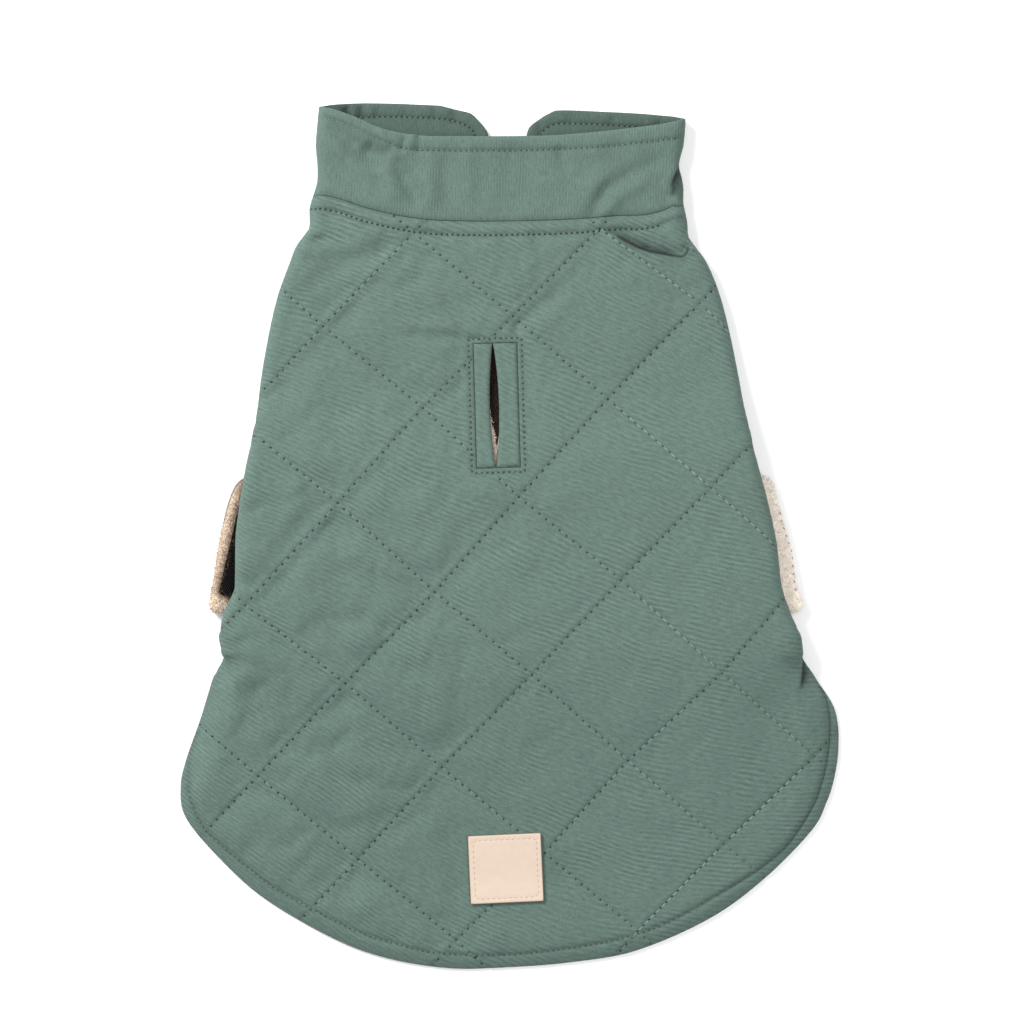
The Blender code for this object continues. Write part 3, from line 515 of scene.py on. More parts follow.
def measure(paths, step=1.2):
    """A function that gives how far points are from the nearest of some polylines, and how far along it."""
    fine = [subdivided(path, step) for path in paths]
    corners = np.vstack(fine)
    a = np.vstack([path[:-1] for path in fine])
    d = np.vstack([np.diff(path, axis=0) for path in fine])
    size = np.maximum(np.linalg.norm(d, axis=1), 1e-9)
    ends = np.cumsum([len(path) - 1 for path in fine])[:-1]
    before = np.concatenate([np.concatenate([[0], np.cumsum(run)[:-1]]) for run in np.split(size, ends)])
    number = np.concatenate([[k] * len(path) for k, path in enumerate(fine)])
    search = search_tree(corners)

    def at(points):
        points = np.asarray(points, float)
        corner = search(points)
        last = corner - number[corner]
        best = np.full(len(points), np.inf)
        along = np.zeros(len(points))
        for segment in (last - 1, last):
            segment = np.clip(segment, 0, len(a) - 1)
            off = points - a[segment]
            t = np.clip((off * d[segment]).sum(1) / size[segment] ** 2, 0, 1)
            gap = np.linalg.norm(off - d[segment] * t[:, None], axis=1)
            nearer = gap < best
            best = np.where(nearer, gap, best)
            along = np.where(nearer, before[segment] + t * size[segment], along)
        return best, along

    return at


def from_rims(points, rims):
    """How far points are from the nearest of some closed rims."""
    return measure([closed(rim) for rim in rims])(points)[0]


def inside(points, rim):
    """Whether each point lies within a closed rim."""
    a, b = rim, np.roll(rim, -1, axis=0)
    found = np.zeros(len(points), bool)
    for part in np.array_split(np.arange(len(points)), len(points) // AT_ONCE + 1):
        x, y = points[part, 0, None], points[part, 1, None]
        crosses = (a[:, 1] > y) != (b[:, 1] > y)
        rise = np.where(crosses, b[:, 1] - a[:, 1], 1)
        found[part] = (crosses & (x < a[:, 0] + (y - a[:, 1]) * (b[:, 0] - a[:, 0]) / rise)).sum(1) % 2 == 1
    return found


def holds(points, rims):
    """Whether each point lies within the first rim and outside the holes that the others bound."""
    found = inside(points, rims[0])
    for hole in rims[1:]:
        found &= ~inside(points, hole)
    return found


def rotation(tilt):
    c, s = math.cos(math.radians(tilt)), math.sin(math.radians(tilt))
    return np.array([[c, s], [-s, c]])


def tilted(points, at, tilt):
    return np.asarray(points, float) @ rotation(tilt) + at


def outside(points, size, at, tilt):
    """How far points lie outside a tilted rectangle."""
    local = (points - at) @ rotation(-tilt)
    return (np.abs(local) - np.array(size) / 2).max(1)


def rectangle(size, at, tilt, corner, step):
    """A rectangle's closed outline with rounded corners, turned by tilt degrees about its middle."""
    half = np.array(size) / 2 - corner
    points = []
    for quarter, (sx, sy) in enumerate(((1, 1), (-1, 1), (-1, -1), (1, -1))):
        for k in range(4 if corner else 1):
            angle = math.radians(90 * quarter + 30 * k)
            points.append((sx * half[0] + corner * math.cos(angle), sy * half[1] + corner * math.sin(angle)))
    points = closed(np.array(points))
    sides = [spaced(points[i : i + 2], step)[:-1] for i in range(len(points) - 1)]
    return tilted(np.vstack(sides), at, tilt)


def waves(x, seed):
    """A smooth irregular wave of about unit height along x."""
    k = np.array([1.0, 1.7, 2.6, 4.1])
    phase = np.array([1.3, 4.1, 2.2, 5.7]) * (seed + 1)
    size = np.array([0.45, 0.3, 0.25, 0.15])
    return (size * np.sin(np.multiply.outer(x, k) + phase)).sum(-1)


def swell(points, size, seed=0):
    """A smooth irregular surface of about unit height, with swellings of a size."""
    x, y = points[:, 0] / size, points[:, 1] / size
    return 0.5 * (waves(x + 0.6 * waves(y, seed), seed + 1) + waves(y - 0.7 * waves(x, seed + 2), seed + 3))


# ---- the coat's form ----

left_side = curve(SIDES["y"], SIDES["left"])
right_side = curve(SIDES["y"], SIDES["right"])
rest_height = curve(REST["y"], REST["height"])
middle_height = curve(SPREAD["y"], SPREAD["middle"])
skirt_side_height = curve(SPREAD["y"], SPREAD["side"])
neck_seam = curve(NECK["x"], NECK["y"])
nape_edge = curve(NAPE["x"], NAPE["y"])
return_width = curve(RETURN["y"], RETURN["width"])
crossing_height = curve(CROSSING["x"], CROSSING["height"])
hem_line = spline(line_of(HEM))
hem_stitching = spline(line_of(HEM_STITCHING))
from_hem = measure([hem_line])
from_hem_stitching = measure([hem_stitching])


def first_or_last(side):
    """Which of a row's values belongs to a side, if they run from left to right."""
    return 0 if side < 0 else -1


def fold_start(side, v):
    """Where the cloth starts to turn under, -1 at the left and 1 at the right."""
    return np.where(np.asarray(side) < 0, left_side(v) + FOLD, right_side(v) - FOLD)


def past_fold(u, v):
    """The nearer side, where the cloth starts to turn under there, and how far past that a place lies."""
    side = np.where(u < (fold_start(-1, v) + fold_start(1, v)) / 2, -1, 1)
    start = fold_start(side, v)
    return side, start, side * (u - start)


def rising_inwards(side, inwards):
    """0 at a side and 1 in the middle: the left side slopes from its edge on."""
    t = np.clip(inwards / MIDDLE_REACH, 0, 1)
    return np.where(side < 0, 0.45 * ease(t) + 0.55 * (1 - (1 - t) ** 2), ease(t))


def under(u, v, side_height):
    """How high the lining's underside lies on the coat's top layer."""
    side, _, beyond = past_fold(u, v)
    return side_height + (middle_height(v) - side_height) * rising_inwards(side, -beyond)


def folded(p, offset, relief=0.0):
    """Points of the body, offset out from its lining's inner face, turned under at the sides."""
    u, v = p.T
    side, start, beyond = past_fold(u, v)
    bottom = rest_height(v)
    angle = np.clip(beyond / FOLD, 0, math.pi)
    radius = CORE + offset + relief * np.where(beyond > 0, fading(angle, *QUILT_FADES_AT), 1)
    flat = np.minimum(beyond, 0) - np.maximum(beyond - TURN, 0)
    x = start + side * (flat + radius * np.sin(angle))
    turned_z = bottom + FOLD + radius * np.cos(angle)
    top_z = under(u, v, bottom + FOLD + CORE) + offset + relief
    return np.stack([x, v, np.where(beyond > 0, turned_z, top_z)], axis=1)


def spread(p, offset, relief=0.0):
    """The same points with the skirt laid open, its hem lowered to the floor."""
    u, v = p.T
    edge = from_hem(p)[0]
    height = under(u, v, skirt_side_height(v)) * ease(edge / HEM_SLOPE)
    lowered = np.where(offset >= SHELL_IN, np.maximum(offset - SHELL_IN, 0), offset)
    hem = lowered + (offset - lowered) * ease(edge / LINING_INSET)
    return np.stack([u, v, height + hem + relief], axis=1)


def opened(v):
    """How far the coat is laid open at a height: at once below the notches."""
    return 1 - (1 - np.clip((NOTCH - v) / SKIRT_OPENS_OVER, 0, 1)) ** 2


def body(p, offset, relief=0.0):
    """Points of the coat: folded down to the notches, and laid open below them."""
    u, v = p.T
    beyond = past_fold(u, v)[2]
    open_out = opened(v)
    open_out = np.where(v > RETURN_FOOT - 1, open_out * fading(beyond / TURN, *STAYS_FOLDED), open_out)
    open_out = open_out[:, None]
    return (1 - open_out) * folded(p, offset, relief) + open_out * spread(p, offset, relief)


def at_offset(offset, relief=0.0):
    return lambda p: body(p, offset, relief)


def turned_under(p):
    """The angle through which the cloth has turned under at a place, negative on the coat's top."""
    return past_fold(*p.T)[2] / FOLD


def neck_height(u, v):
    """The height of the neck seam, round the folds too."""
    side, start, _ = past_fold(u, v)
    return neck_seam(np.where(side < 0, np.maximum(u, start), np.minimum(u, start)))


def below_neck(p):
    return neck_height(*p.T) - p[:, 1]


def creases(p, lines):
    """The height that creases add at a place on top of the coat."""
    height = np.zeros(len(p))
    for x0, y0, x1, y1, rise, width in zip(*lines.values()):
        d = np.array([x1 - x0, y1 - y0])
        off = p - (x0, y0)
        t = off @ d / (d @ d)
        across = np.abs(off[:, 0] * d[1] - off[:, 1] * d[0]) / math.sqrt(d @ d)
        fade = ease((t + 0.3) / 0.5) * ease((1.3 - t) / 0.5)
        height += rise * fade * bell(across, width)
    return height


# ---- stitched lines ----


def quilt_crossing(a, b):
    """Where two stitched lines of the quilting cross."""
    angles = np.radians(QUILT_ANGLES)
    steps = [step * np.array([math.cos(angle), math.sin(angle)]) for step, angle in zip(QUILT_STEPS, angles)]
    shift = (QUILT_SHIFTS["a"] == a) & (QUILT_SHIFTS["b"] == b)
    moved = np.array([QUILT_SHIFTS["x"][shift].sum(), QUILT_SHIFTS["y"][shift].sum()])
    return np.array(QUILT_AT) + a * steps[0] + b * steps[1] + moved


def quilt_families():
    """The quilting's two sets of stitched lines, each line from crossing to crossing."""
    per_square = round(QUILT_STEPS[0] / QUILT_PITCH)

    def line(crossings):
        sides = [divided(np.array(pair), per_square)[:-1] for pair in zip(crossings, crossings[1:])]
        return np.vstack(sides)

    falling = [line([quilt_crossing(a, b) for a in QUILT_CELLS]) for b in QUILT_CELLS]
    rising = [line([quilt_crossing(a, b) for b in QUILT_CELLS]) for a in QUILT_CELLS]
    return falling, rising


quilting = quilt_families()
from_falling, from_rising = (measure(family) for family in quilting)


def refined(holes, parts):
    """The holes of a stitched line with more points between them."""
    return np.vstack([divided(holes[k : k + 2], parts)[:-1] for k in range(len(holes) - 1)] + [holes[-1:]])


def kept_runs(path, keep):
    """The stretches of a path whose points are to be kept."""
    turns = np.flatnonzero(np.diff(keep)) + 1
    runs = [run for run, good in zip(np.split(path, turns), np.split(keep, turns)) if good[0]]
    return [run for run in runs if len(run) > 1]


def pits(holes):
    """A function that is 1 at some needle holes and 0 a width away from them."""
    find = search_tree(holes)

    def at(p, width):
        return decay(((p - holes[find(p)]) ** 2).sum(1), width**2)

    return at


# ---- cutting and placing ----


def triangulate(rims, points, lines=()):
    """The triangles of a flat pattern within its rims; the first rim is its outline, the others are holes."""
    corners = []
    edges = []
    for path, gap in [(rim, 0) for rim in rims] + [(line, 1) for line in lines]:
        first, count = len(corners), len(path)
        corners += [tuple(p) for p in path]
        edges += [(first + k, first + (k + 1) % count) for k in range(count - gap)]
    corners += [tuple(p) for p in points]
    found, _, faces = delaunay_2d_cdt(corners, edges, [], 0, 1e-3)[:3]
    found = np.array([tuple(p) for p in found])
    faces = np.array([face for face in faces if len(face) == 3])
    a, b, c = (found[faces[:, k]] for k in range(3))
    (bx, by), (cx, cy) = (b - a).T, (c - a).T
    flat = np.abs(bx * cy - by * cx) < FLAT_TRIANGLE
    return found, faces[~flat & holds((a + b + c) / 3, rims)]


def borders(faces):
    """The closed borders of a flat mesh, each in the direction of its faces."""
    half = {(int(face[k]), int(face[(k + 1) % 3])) for face in faces for k in range(3)}
    following = {a: b for a, b in half if (b, a) not in half}
    loops = []
    while following:
        start, at = next(iter(following.items()))
        following.pop(start)
        loop = [start]
        while at != start:
            loop.append(at)
            at = following.pop(at)
        loops.append(loop)
    return sorted(loops, key=len, reverse=True)


def make_mesh(name, corners, faces, cut=None, marks=None):
    """A smooth mesh object from corners in millimetres, with its pattern as a UV map and with its marks."""
    mesh = bpy.data.meshes.new(name)
    mesh.from_pydata((np.asarray(corners) * MM).tolist(), [], [list(map(int, face)) for face in faces])
    if cut is not None:
        ring = np.zeros(len(mesh.loops), int)
        mesh.loops.foreach_get("vertex_index", ring)
        layer = mesh.uv_layers.new(name="cut")
        layer.data.foreach_set("uv", (cut[ring] * MM).astype(np.float32).ravel())
    for mark, values in (marks or {}).items():
        attribute = mesh.attributes.new(mark, "FLOAT", "POINT")
        attribute.data.foreach_set("value", np.asarray(values, np.float32))
    mesh.shade_smooth()
    piece = bpy.data.objects.new(name, mesh)
    bpy.context.scene.collection.objects.link(piece)
    return piece


def copies(name, material, slot, corners, shape, **marks):
    """Many small things of one shape as one mesh; each corner comes as its places on all of them."""
    corners = np.stack(corners, axis=1)
    count, each = corners.shape[:2]
    faces = [[i * each + k for k in face] for i in range(count) for face in shape]
    marks = {mark: np.repeat(values, each) for mark, values in marks.items()}
    piece = make_mesh(name, corners.reshape(-1, 3) - settled, faces, None, marks)
    finish(piece, material, slot)


def cloth(name, rims, outer, inner, fine=(), coarse=(), lines=(), marks=None, sharp=50):
    """A closed wall of cloth: a fine outer face and an inner one, joined along their shared rims."""
    top, top_faces = triangulate(rims, fine, lines)
    loops = borders(top_faces)
    low, low_faces = triangulate([top[loop] for loop in loops], coarse)
    key = {tuple(np.round(p, 2)): i for i, p in enumerate(low)}
    corners = np.vstack([outer(top), inner(low)])
    sides = []
    for loop in loops:
        below = [len(top) + key[tuple(np.round(top[k], 2))] for k in loop]
        for k in range(len(loop)):
            n = (k + 1) % len(loop)
            sides.append([loop[n], loop[k], below[k]])
            sides.append([loop[n], below[k], below[n]])
    faces = np.vstack([top_faces, len(top) + low_faces[:, ::-1], sides])
    used = np.unique(faces)
    place = np.zeros(len(corners), int)
    place[used] = np.arange(len(used))
    cut = np.vstack([top, low])
    marked = {mark: f(cut[used]) for mark, f in (marks or {}).items()}
    # The inner face is marked; the cloth's finish paints it darker, as shade.
    marked["inside"] = used >= len(top)
    piece = make_mesh(name, (corners - settled)[used], place[faces], cut[used], marked)
    piece.data.set_sharp_from_angle(angle=math.radians(sharp))
    area = float(np.abs(shoelace(rims[0])) - sum(np.abs(shoelace(rim)) for rim in rims[1:]))
    piece["cut_size"] = [float(x) * MM for x in rims[0].max(0) - rims[0].min(0)]
    piece["cut_area"] = area * MM * MM
    return piece


def shoelace(rim):
    x, y = rim[:, 0], rim[:, 1]
    return 0.5 * (x * np.roll(y, -1) - y * np.roll(x, -1)).sum()


def sprinkle(rims, step, clear):
    """Staggered rows of points inside an outline, clear of every rim."""
    low, high = rims[0].min(0), rims[0].max(0)
    height = step * math.sqrt(0.75)
    rows = np.arange(low[1] + height / 2, high[1], height)
    points = []
    for i, y in enumerate(rows):
        xs = np.arange(low[0] + step * (0.25 + 0.5 * (i % 2)), high[0], step)
        points.append(pairs(xs, np.full(len(xs), y)))
    return cleared(np.vstack(points), rims, clear)


def cleared(points, rims, clear, lines=(), off_lines=0.0):
    """The points within a pattern, clear of its rims and of some lines."""
    points = points[holds(points, rims)]
    points = points[from_rims(points, rims) > clear]
    if len(lines):
        points = points[measure(lines)(points)[0] > off_lines]
    return points


def thinned(points, gap):
    """Points with the later ones dropped where they crowd earlier ones."""
    seen = {}
    kept = []
    for k, (x, y) in enumerate(points):
        cell = (math.floor(x / gap), math.floor(y / gap))
        near = [seen.get((cell[0] + i, cell[1] + j)) for i in (-1, 0, 1) for j in (-1, 0, 1)]
        if all(q is None or (points[q][0] - x) ** 2 + (points[q][1] - y) ** 2 > gap * gap for q in near):
            seen[cell] = k
            kept.append(k)
    return points[kept]


def beside(path, *gaps):
    """The points of a path moved sideways by each gap."""
    ahead = np.gradient(path, axis=0)
    ahead /= np.maximum(np.linalg.norm(ahead, axis=1), 1e-9)[:, None]
    across = pairs(-ahead[:, 1], ahead[:, 0])
    return [path + gap * across for gap in gaps]


# ---- outlines ----


def return_edge(side, v, gap=0.0):
    """Where the turned-under side ends in the pattern, or where what is sewn to it starts."""
    return fold_start(side, v) + side * (TURN + return_width(v) + gap)


def return_line(side, gap=0.0, low=-1000.0, step=RETURN_STEP):
    """The turned-under side's edge in the pattern, upwards, or the edge of what is sewn to it."""
    top = NECK["y"][first_or_last(side)]
    rows = np.linspace(RETURN_FOOT, top, round((top - RETURN_FOOT) / step) + 1)
    rows = rows[rows >= low]
    return pairs(return_edge(side, rows, gap), rows)


def neck_line(low, high, gap=0.0, step=2.0):
    """The neck seam in the pattern, from low to high."""
    places = np.arange(math.floor(low / step), math.ceil(high / step) + 1) * step
    places = places[(places > low + 0.5 * step) & (places < high - 0.5 * step)]
    return pairs(places, neck_height(places, NECK_LEVEL) + gap)


def back_outline(step=1.5):
    """The back panel's outline: hem, right turned-under side, neck, left turned-under side."""
    right, left = return_line(1, step=2.0), return_line(-1, step=2.0)
    neck = neck_line(left[-1][0], right[-1][0])
    return np.vstack([spaced(hem_line, step), right, neck[::-1], left[::-1]])


def lining_outline():
    """The lining's outline: as the shell's, but short of the hem."""
    hem = beside(spaced(hem_line, 3.0), LINING_INSET)[0]
    hem = hem[hem[:, 1] < NOTCH - 20]
    right, left = (return_line(side, 0, NOTCH + 20, 4.0) for side in (1, -1))
    neck = neck_line(left[-1][0], right[-1][0], step=4.0)
    turn = {
        side: [(fold_start(side, NOTCH) + side * TURN * part, NOTCH + rise) for part, rise in LINING_TURN]
        for side in (-1, 1)
    }
    return np.vstack([hem, spline(turn[1], 4), right, neck[::-1], left[::-1], spline(turn[-1][::-1], 4)])


def slit_mouth(width, length, points=21):
    """The slit's two lips as a lens: the left lip upwards, the right one down."""
    rows = np.linspace(-1, 1, points)
    bow = width / 2 * (1 - rows * rows)
    left = pairs(SLIT_MOUTH_AT - bow, rows * length / 2)
    right = pairs(SLIT_MOUTH_AT + bow, rows * length / 2)[::-1]
    return left, right


# ---- the quilted back ----


def seam_lines():
    """The stitched seams on the back, each as its needle holes."""
    right, left = return_edge(1, NECK_LEVEL), return_edge(-1, NECK_LEVEL)
    frame_size = [x + 2 * SLIT_FRAME for x in SLIT_SIZE]
    lines = {
        "hem_stitching": hem_stitching,
        "neck_stitching": neck_line(left + 2, right - 2, -NECK_BAND),
        "slit_stitching": closed(rectangle(frame_size, SLIT_AT, SLIT_TILT, 0.8, 2.0)),
    }
    return {name: spaced(line, SEAM_PITCH) for name, line in lines.items()}


seams = seam_lines()
back_paths = [*quilting[0], *quilting[1], *seams.values()]
back_pits = pits(np.vstack(back_paths))
from_seams = measure(back_paths)
back_rims = [back_outline(), rectangle(SLIT_SIZE, SLIT_AT, SLIT_TILT, 0, 1.2)]


def shoulder(gap):
    return 1 - (1 - np.minimum(gap / QUILT_SHOULDER, 1)) ** QUILT_ROUND


def eased_drop(p):
    """Fills out the cloth at the sides, where its rest drops to the floor above and below the straps."""
    v = p[:, 1]
    side, _, beyond = past_fold(*p.T)
    top, foot = REST["y"][2], REST["y"][3]
    gentle = OVER_TAPE * (1 - ease((foot - v) / DROP_EASED_OVER)) * (1 - ease((v - top) / RISE_EASED_OVER))
    at_side = np.maximum(gentle - rest_height(v), 0)
    return at_side * (1 - rising_inwards(side, -beyond))


def wrinkles(p):
    """Small soft wrinkles, more of them on the left and beside the neck."""
    amount = 0.3 + 0.7 * ease((30 - p[:, 0]) / 80) + 0.35 * ease((p[:, 1] - 80) / 40)
    amount = amount * (0.65 + 0.35 * swell(p, 33, 22))
    fold = swell(p * (0.8, 1.0), 12.5, 21)
    finer = swell(p * (1.0, 0.75), 7.5, 25)
    lines = 1.7 * bell(fold, 0.24) + 0.8 * bell(finer, 0.3)
    return amount * (1.1 * swell(p, 8, 23) - lines)


def sided(path, fades):
    """How far places are from a line, whether they are on its right, and how strong it is beside them."""
    path = spline(path)
    find = measure([path])
    far_along = lengths(path)
    ahead = np.gradient(path, axis=0)

    def at(p):
        far, along = find(p)
        foot, way = (
            np.stack([np.interp(along, far_along, line[:, k]) for k in range(2)], axis=1)
            for line in (path, ahead)
        )
        off = p - foot
        right = way[:, 1] * off[:, 0] - way[:, 0] * off[:, 1] > 0
        part = along / far_along[-1]
        return far, right, ease(part / fades[0]) * ease((1 - part) / fades[1]), part

    return at


def beside_ledge(path, width, fades=LEDGE_FADES, last=None):
    """1 in the hollow on the left of a ledge's line, and 0 away from it, as a mask for painted shade; its
    last part may be narrower.
    """
    find = sided(path, fades)

    def at(p):
        far, right, strength, part = find(p)
        wide = width + ((last or width) - width) * ease((part - 0.66) / 0.14)
        return strength * np.where(right, decay(far, 0.25), decay(far, wide))

    return at


def ledge(path, rise, back, drop, away, fades=LEDGE_FADES):
    """A sharp step along a line: cloth raised on its right, and a hollow that fades away on its left."""
    find = sided(path, fades)

    def at(p):
        far, right, strength, _ = find(p)
        raised = rise * decay(far, back)
        hollow = -drop * decay(far, away)
        middle = (rise - drop) / 2
        return strength * (middle + (np.where(right, raised, hollow) - middle) * ease(far / 0.9))

    return at


shoulder_ledge = ledge(SHOULDER_LEDGE, rise=2.6, back=6.0, drop=2.8, away=5.0)
left_notch_ledge = ledge(LEFT_NOTCH_LEDGE, 1.8, 4.0, 1.6, 4.0, LEFT_NOTCH_FADES)
right_notch_ledge = ledge(RIGHT_NOTCH_LEDGE, 1.0, 4.0, 1.7, 4.0, NOTCH_FADES)
collar_ledge = ledge(COLLAR_LEDGE, 1.0, 3.0, 1.6, 5.0, COLLAR_FADES)
# Masks for painted shade in the hollows beside the shoulder's, the right notch's and the collar's ledges.
shoulder_painted_shade = beside_ledge(SHOULDER_LEDGE, 3.0, LEDGE_FADES, 1.0)
notch_painted_shade = beside_ledge(RIGHT_NOTCH_LEDGE, 2.4, (0.25, 0.35))
collar_fold_painted_shade = beside_ledge(COLLAR_LEDGE, 6.0, COLLAR_FADES)
beside_hem_stitching = sided(hem_stitching[::8], (0.05, 0.02))


def rising_strength(p):
    """How deep the quilting's rising lines are: most on the long one and at the lower left."""
    start, end = np.array(LONG_LINE)
    d = (end - start) / np.linalg.norm(end - start)
    off = p - start
    main = bell(np.abs(off[:, 0] * d[1] - off[:, 1] * d[0]), 34)
    lower_left = ease((-p[:, 0] - 10) / 60) * ease((20 - p[:, 1]) / 60)
    return np.clip(0.5 + 0.5 * np.maximum(main, 0.8 * lower_left), 0, 1)


def back_relief(p):
    """The quilted shell's outer face over its plain inside."""
    x, y = p.T
    far_a, along_a = from_falling(p)
    far_b, along_b = from_rising(p)
    full = QUILT_PUFF * (1 - 0.45 * ease((x + 80) / 110)) * (1 + 0.2 * swell(p, 30, 4))
    lift = full * shoulder(far_a) * (1 - rising_strength(p) * (1 - shoulder(far_b)))
    neck = below_neck(p)
    hem = from_hem(p)[0]
    seam = from_hem_stitching(p)[0]
    lift = lift * ease(neck / QUILT_FADE)
    lift = np.where(y < NOTCH + QUILT_FADE, lift * ease(np.minimum(hem, seam + 3) / QUILT_FADE), lift)
    patch = outside(p, PATCH_SIZE, PATCH_AT, PATCH_TILT)
    lift += (PATCH_SEAT - lift) * fading(patch, *PATCH_SEAT_EDGE)
    left, start, end = SLIT_SEAT
    window = outside(p, SLIT_SIZE, SLIT_AT, SLIT_TILT)
    lift *= 1 - (1 - left) * fading(window, start, end)
    on_top = fading(turned_under(p), *SOFT_FOLDS_FADE_AT)
    lift += (creases(p, CREASES) + shoulder_ledge(p)) * on_top + eased_drop(p)
    lift += (left_notch_ledge(p) + right_notch_ledge(p)) * np.maximum(on_top, opened(y))
    free = ease((patch - 1) / 8) * ease(window / 8) * ease(neck / 9) * ease(hem / 12)
    lift += (0.4 * swell(p, 16) + wrinkles(p) * ease(np.minimum(far_a, far_b) / 4)) * free
    calm = ease((patch - 1) / 4) * ease((window - 2) / 3) * ease(neck / 6) * ease(seam / 5)
    for far, along, seed in ((far_a, along_a, 1), (far_b, along_b, 2)):
        lift += 0.16 * waves(along / 2.4 + 0.3 * far, seed) * (bell(far, 5.0) * ease(far / 2)) * calm
        lift -= ditch(far, *QUILT_DITCH) * calm
    holes = QUILT_HOLE * back_pits(p, QUILT_HOLE_WIDTH) * np.where(patch < 0, 0, 1)
    return lift + seam_relief(p, hem, neck, window) - holes


def seam_relief(p, hem, neck, window):
    """The rolled hem, the neck's stitched band and the slit's frame."""
    x, y = p.T
    seam, along = from_hem_stitching(p)
    right = ease((x - 20) / 60)
    left = ease((-118 - x) / 18)
    depth = 0.5 + 0.15 * right + 0.3 * left + 0.15 * waves(along / 14, 3)
    lift = -depth * bell(seam, 1.1)
    band = bell(hem - 3.2, 3.0) * (y < NOTCH - 14)
    lift += (0.4 + 0.1 * right) * band
    lift += 0.14 * waves(along / 2.2 + 0.25 * hem, 5) * (bell(seam, 6) * ease(seam / 1.5))
    stitch = np.abs(neck - NECK_BAND)
    lift -= ditch(stitch, *NECK_DITCH)
    lift += 0.35 * bell(neck - 3.0, 2.0)
    lift += 0.12 * waves(x / 2.2, 7) * bell(stitch, 5) * ease(stitch / 1.5)
    lift -= ditch(window - SLIT_FRAME, *FRAME_DITCH)
    rim = np.minimum(hem, np.maximum(window, 0))
    return lift - 0.8 * decay(rim, 0.5) - 0.7 * decay(np.maximum(neck, 0), 1.0)


def needle_hole_painted_shade(p):
    """How dark the needle holes are painted, as shade in them, line by line."""
    x, y = p.T
    falling = from_falling(p)[0]
    paler = (falling < 1.3) & (falling < from_rising(p)[0])
    seen = np.where(paler, 0.92 - 0.17 * ease((x - 20) / 60), 0.86 + 0.14 * rising_strength(p))
    hem_seen = ease((-102 - y) / 14) * (0.7 - 0.3 * ease((x - 60) / 50))
    seen = np.where(from_hem_stitching(p)[0] < 1.1, hem_seen, seen)
    seen = np.where(below_neck(p) < NECK_BAND + 1.5, 1 - ease((x - 66) / 3), seen)
    window = np.abs(outside(p, SLIT_SIZE, SLIT_AT, SLIT_TILT) - SLIT_FRAME) < 1.2
    return back_pits(p, QUILT_MARK_WIDTH) * np.where(window, 0.85, seen)


def seam_painted_shade(p):
    """Painted shade: 1 in a stitched ditch and at the neck seam under the collar's edge, and 0 away from
    them.
    """
    near = from_seams(p)[0]
    shallow = near > from_falling(p)[0] - 0.01
    return np.maximum(bell(near, 1.6) * np.where(shallow, 0.4, 1), decay(below_neck(p), 1.2))


def painted_shade_marks(p):
    """Painted shade: 1 in the depth of a fold that hardly any light reaches, in the hem's crease at the right
    and faintly on the strip outside the hem's stitching at the left.
    """
    x, y = p.T
    right = ease((x - 60) / 50) * ease((-62 - y) / 6)
    left = ease((-100 - x) / 20)
    seam, outer, strength, _ = beside_hem_stitching(p)
    hem_crease = 0.5 * right * bell(seam, 0.4)
    strip = 0.06 * strength * outer * left
    on_top = fading(turned_under(p), 0.9, 1.5)
    return np.clip(shoulder_painted_shade(p) * on_top + notch_painted_shade(p) + np.maximum(hem_crease, strip), 0, 1)


def back_points(rims):
    """The back's fine points: rows beside every stitched line and rim, and an even field between them."""
    stitch_paths = []
    for holes in quilting[0] + quilting[1]:
        path = refined(holes, 4)
        keep = holds(path, rims) & (from_rims(path, rims) > 0.5)
        for seam in seams.values():
            keep &= measure([seam])(path)[0] > 0.7
        keep &= outside(path, PATCH_SIZE, PATCH_AT, PATCH_TILT) > -6
        stitch_paths += kept_runs(path, keep)
    for holes in seams.values():
        path = refined(holes, 2)
        stitch_paths += kept_runs(path, holds(path, rims))
    rows = []
    for path in (SHOULDER_LEDGE, LEFT_NOTCH_LEDGE, RIGHT_NOTCH_LEDGE):
        rows = beside(spaced(spline(path), 0.8), *LEDGE_ROWS) + rows
    for path in stitch_paths:
        rows += beside(path, *STITCH_ROWS) + beside(spaced(path, 1.5), *FAR_ROWS)
    for rim in rims:
        rows += beside(closed(rim)[:-1], *(RIM_ROWS if rim is rims[0] else HOLE_ROWS))
    rows = cleared(np.vstack(rows), rims, 0.3, stitch_paths, 0.55)
    field = cleared(sprinkle(rims, 2.1, 2.0), rims, 2.0, stitch_paths, 4.0)
    return thinned(np.vstack([rows, field]), 0.62), stitch_paths


def coarse_points(rims, step=7.0):
    field = sprinkle(rims, step, 2.5)
    return thinned(np.vstack([field, fold_rows(rims, 6.0)]), 2.4)


def fold_rows(rims, step, parts=8):
    """Rows of points round both side folds."""
    low, high = rims[0][:, 1].min(), rims[0][:, 1].max()
    heights = np.arange(max(low, NOTCH), high, step)
    rows = []
    for side in (-1, 1):
        for k in range(parts + 1):
            rows.append(pairs(fold_start(side, heights) + side * TURN * k / parts, heights))
    return cleared(np.vstack(rows), rims, 1.5)


def back_face(p):
    return body(p, SHELL_OUT, back_relief(p))


def make_back(material):
    fine, lines = back_points(back_rims)
    marks = {"needle": needle_hole_painted_shade, "ditch": seam_painted_shade, "painted_shade": painted_shade_marks}
    coarse = coarse_points(back_rims)
    inner = at_offset(SHELL_IN)
    piece = cloth("quilted_back", back_rims, back_face, inner, fine, coarse, lines, marks, sharp=70)
    finish(piece, material, "quilted_shell", "back_shell")
    return piece


# ---- stitches ----


def surface_frame(place, p, face):
    """Points on a placed pattern and the directions out of it."""
    along_u, along_v = (place(p + step) - place(p - step) for step in ((0.3, 0), (0, 0.3)))
    out = np.cross(along_u, along_v) * face
    return place(p), out / np.linalg.norm(out, axis=1)[:, None]


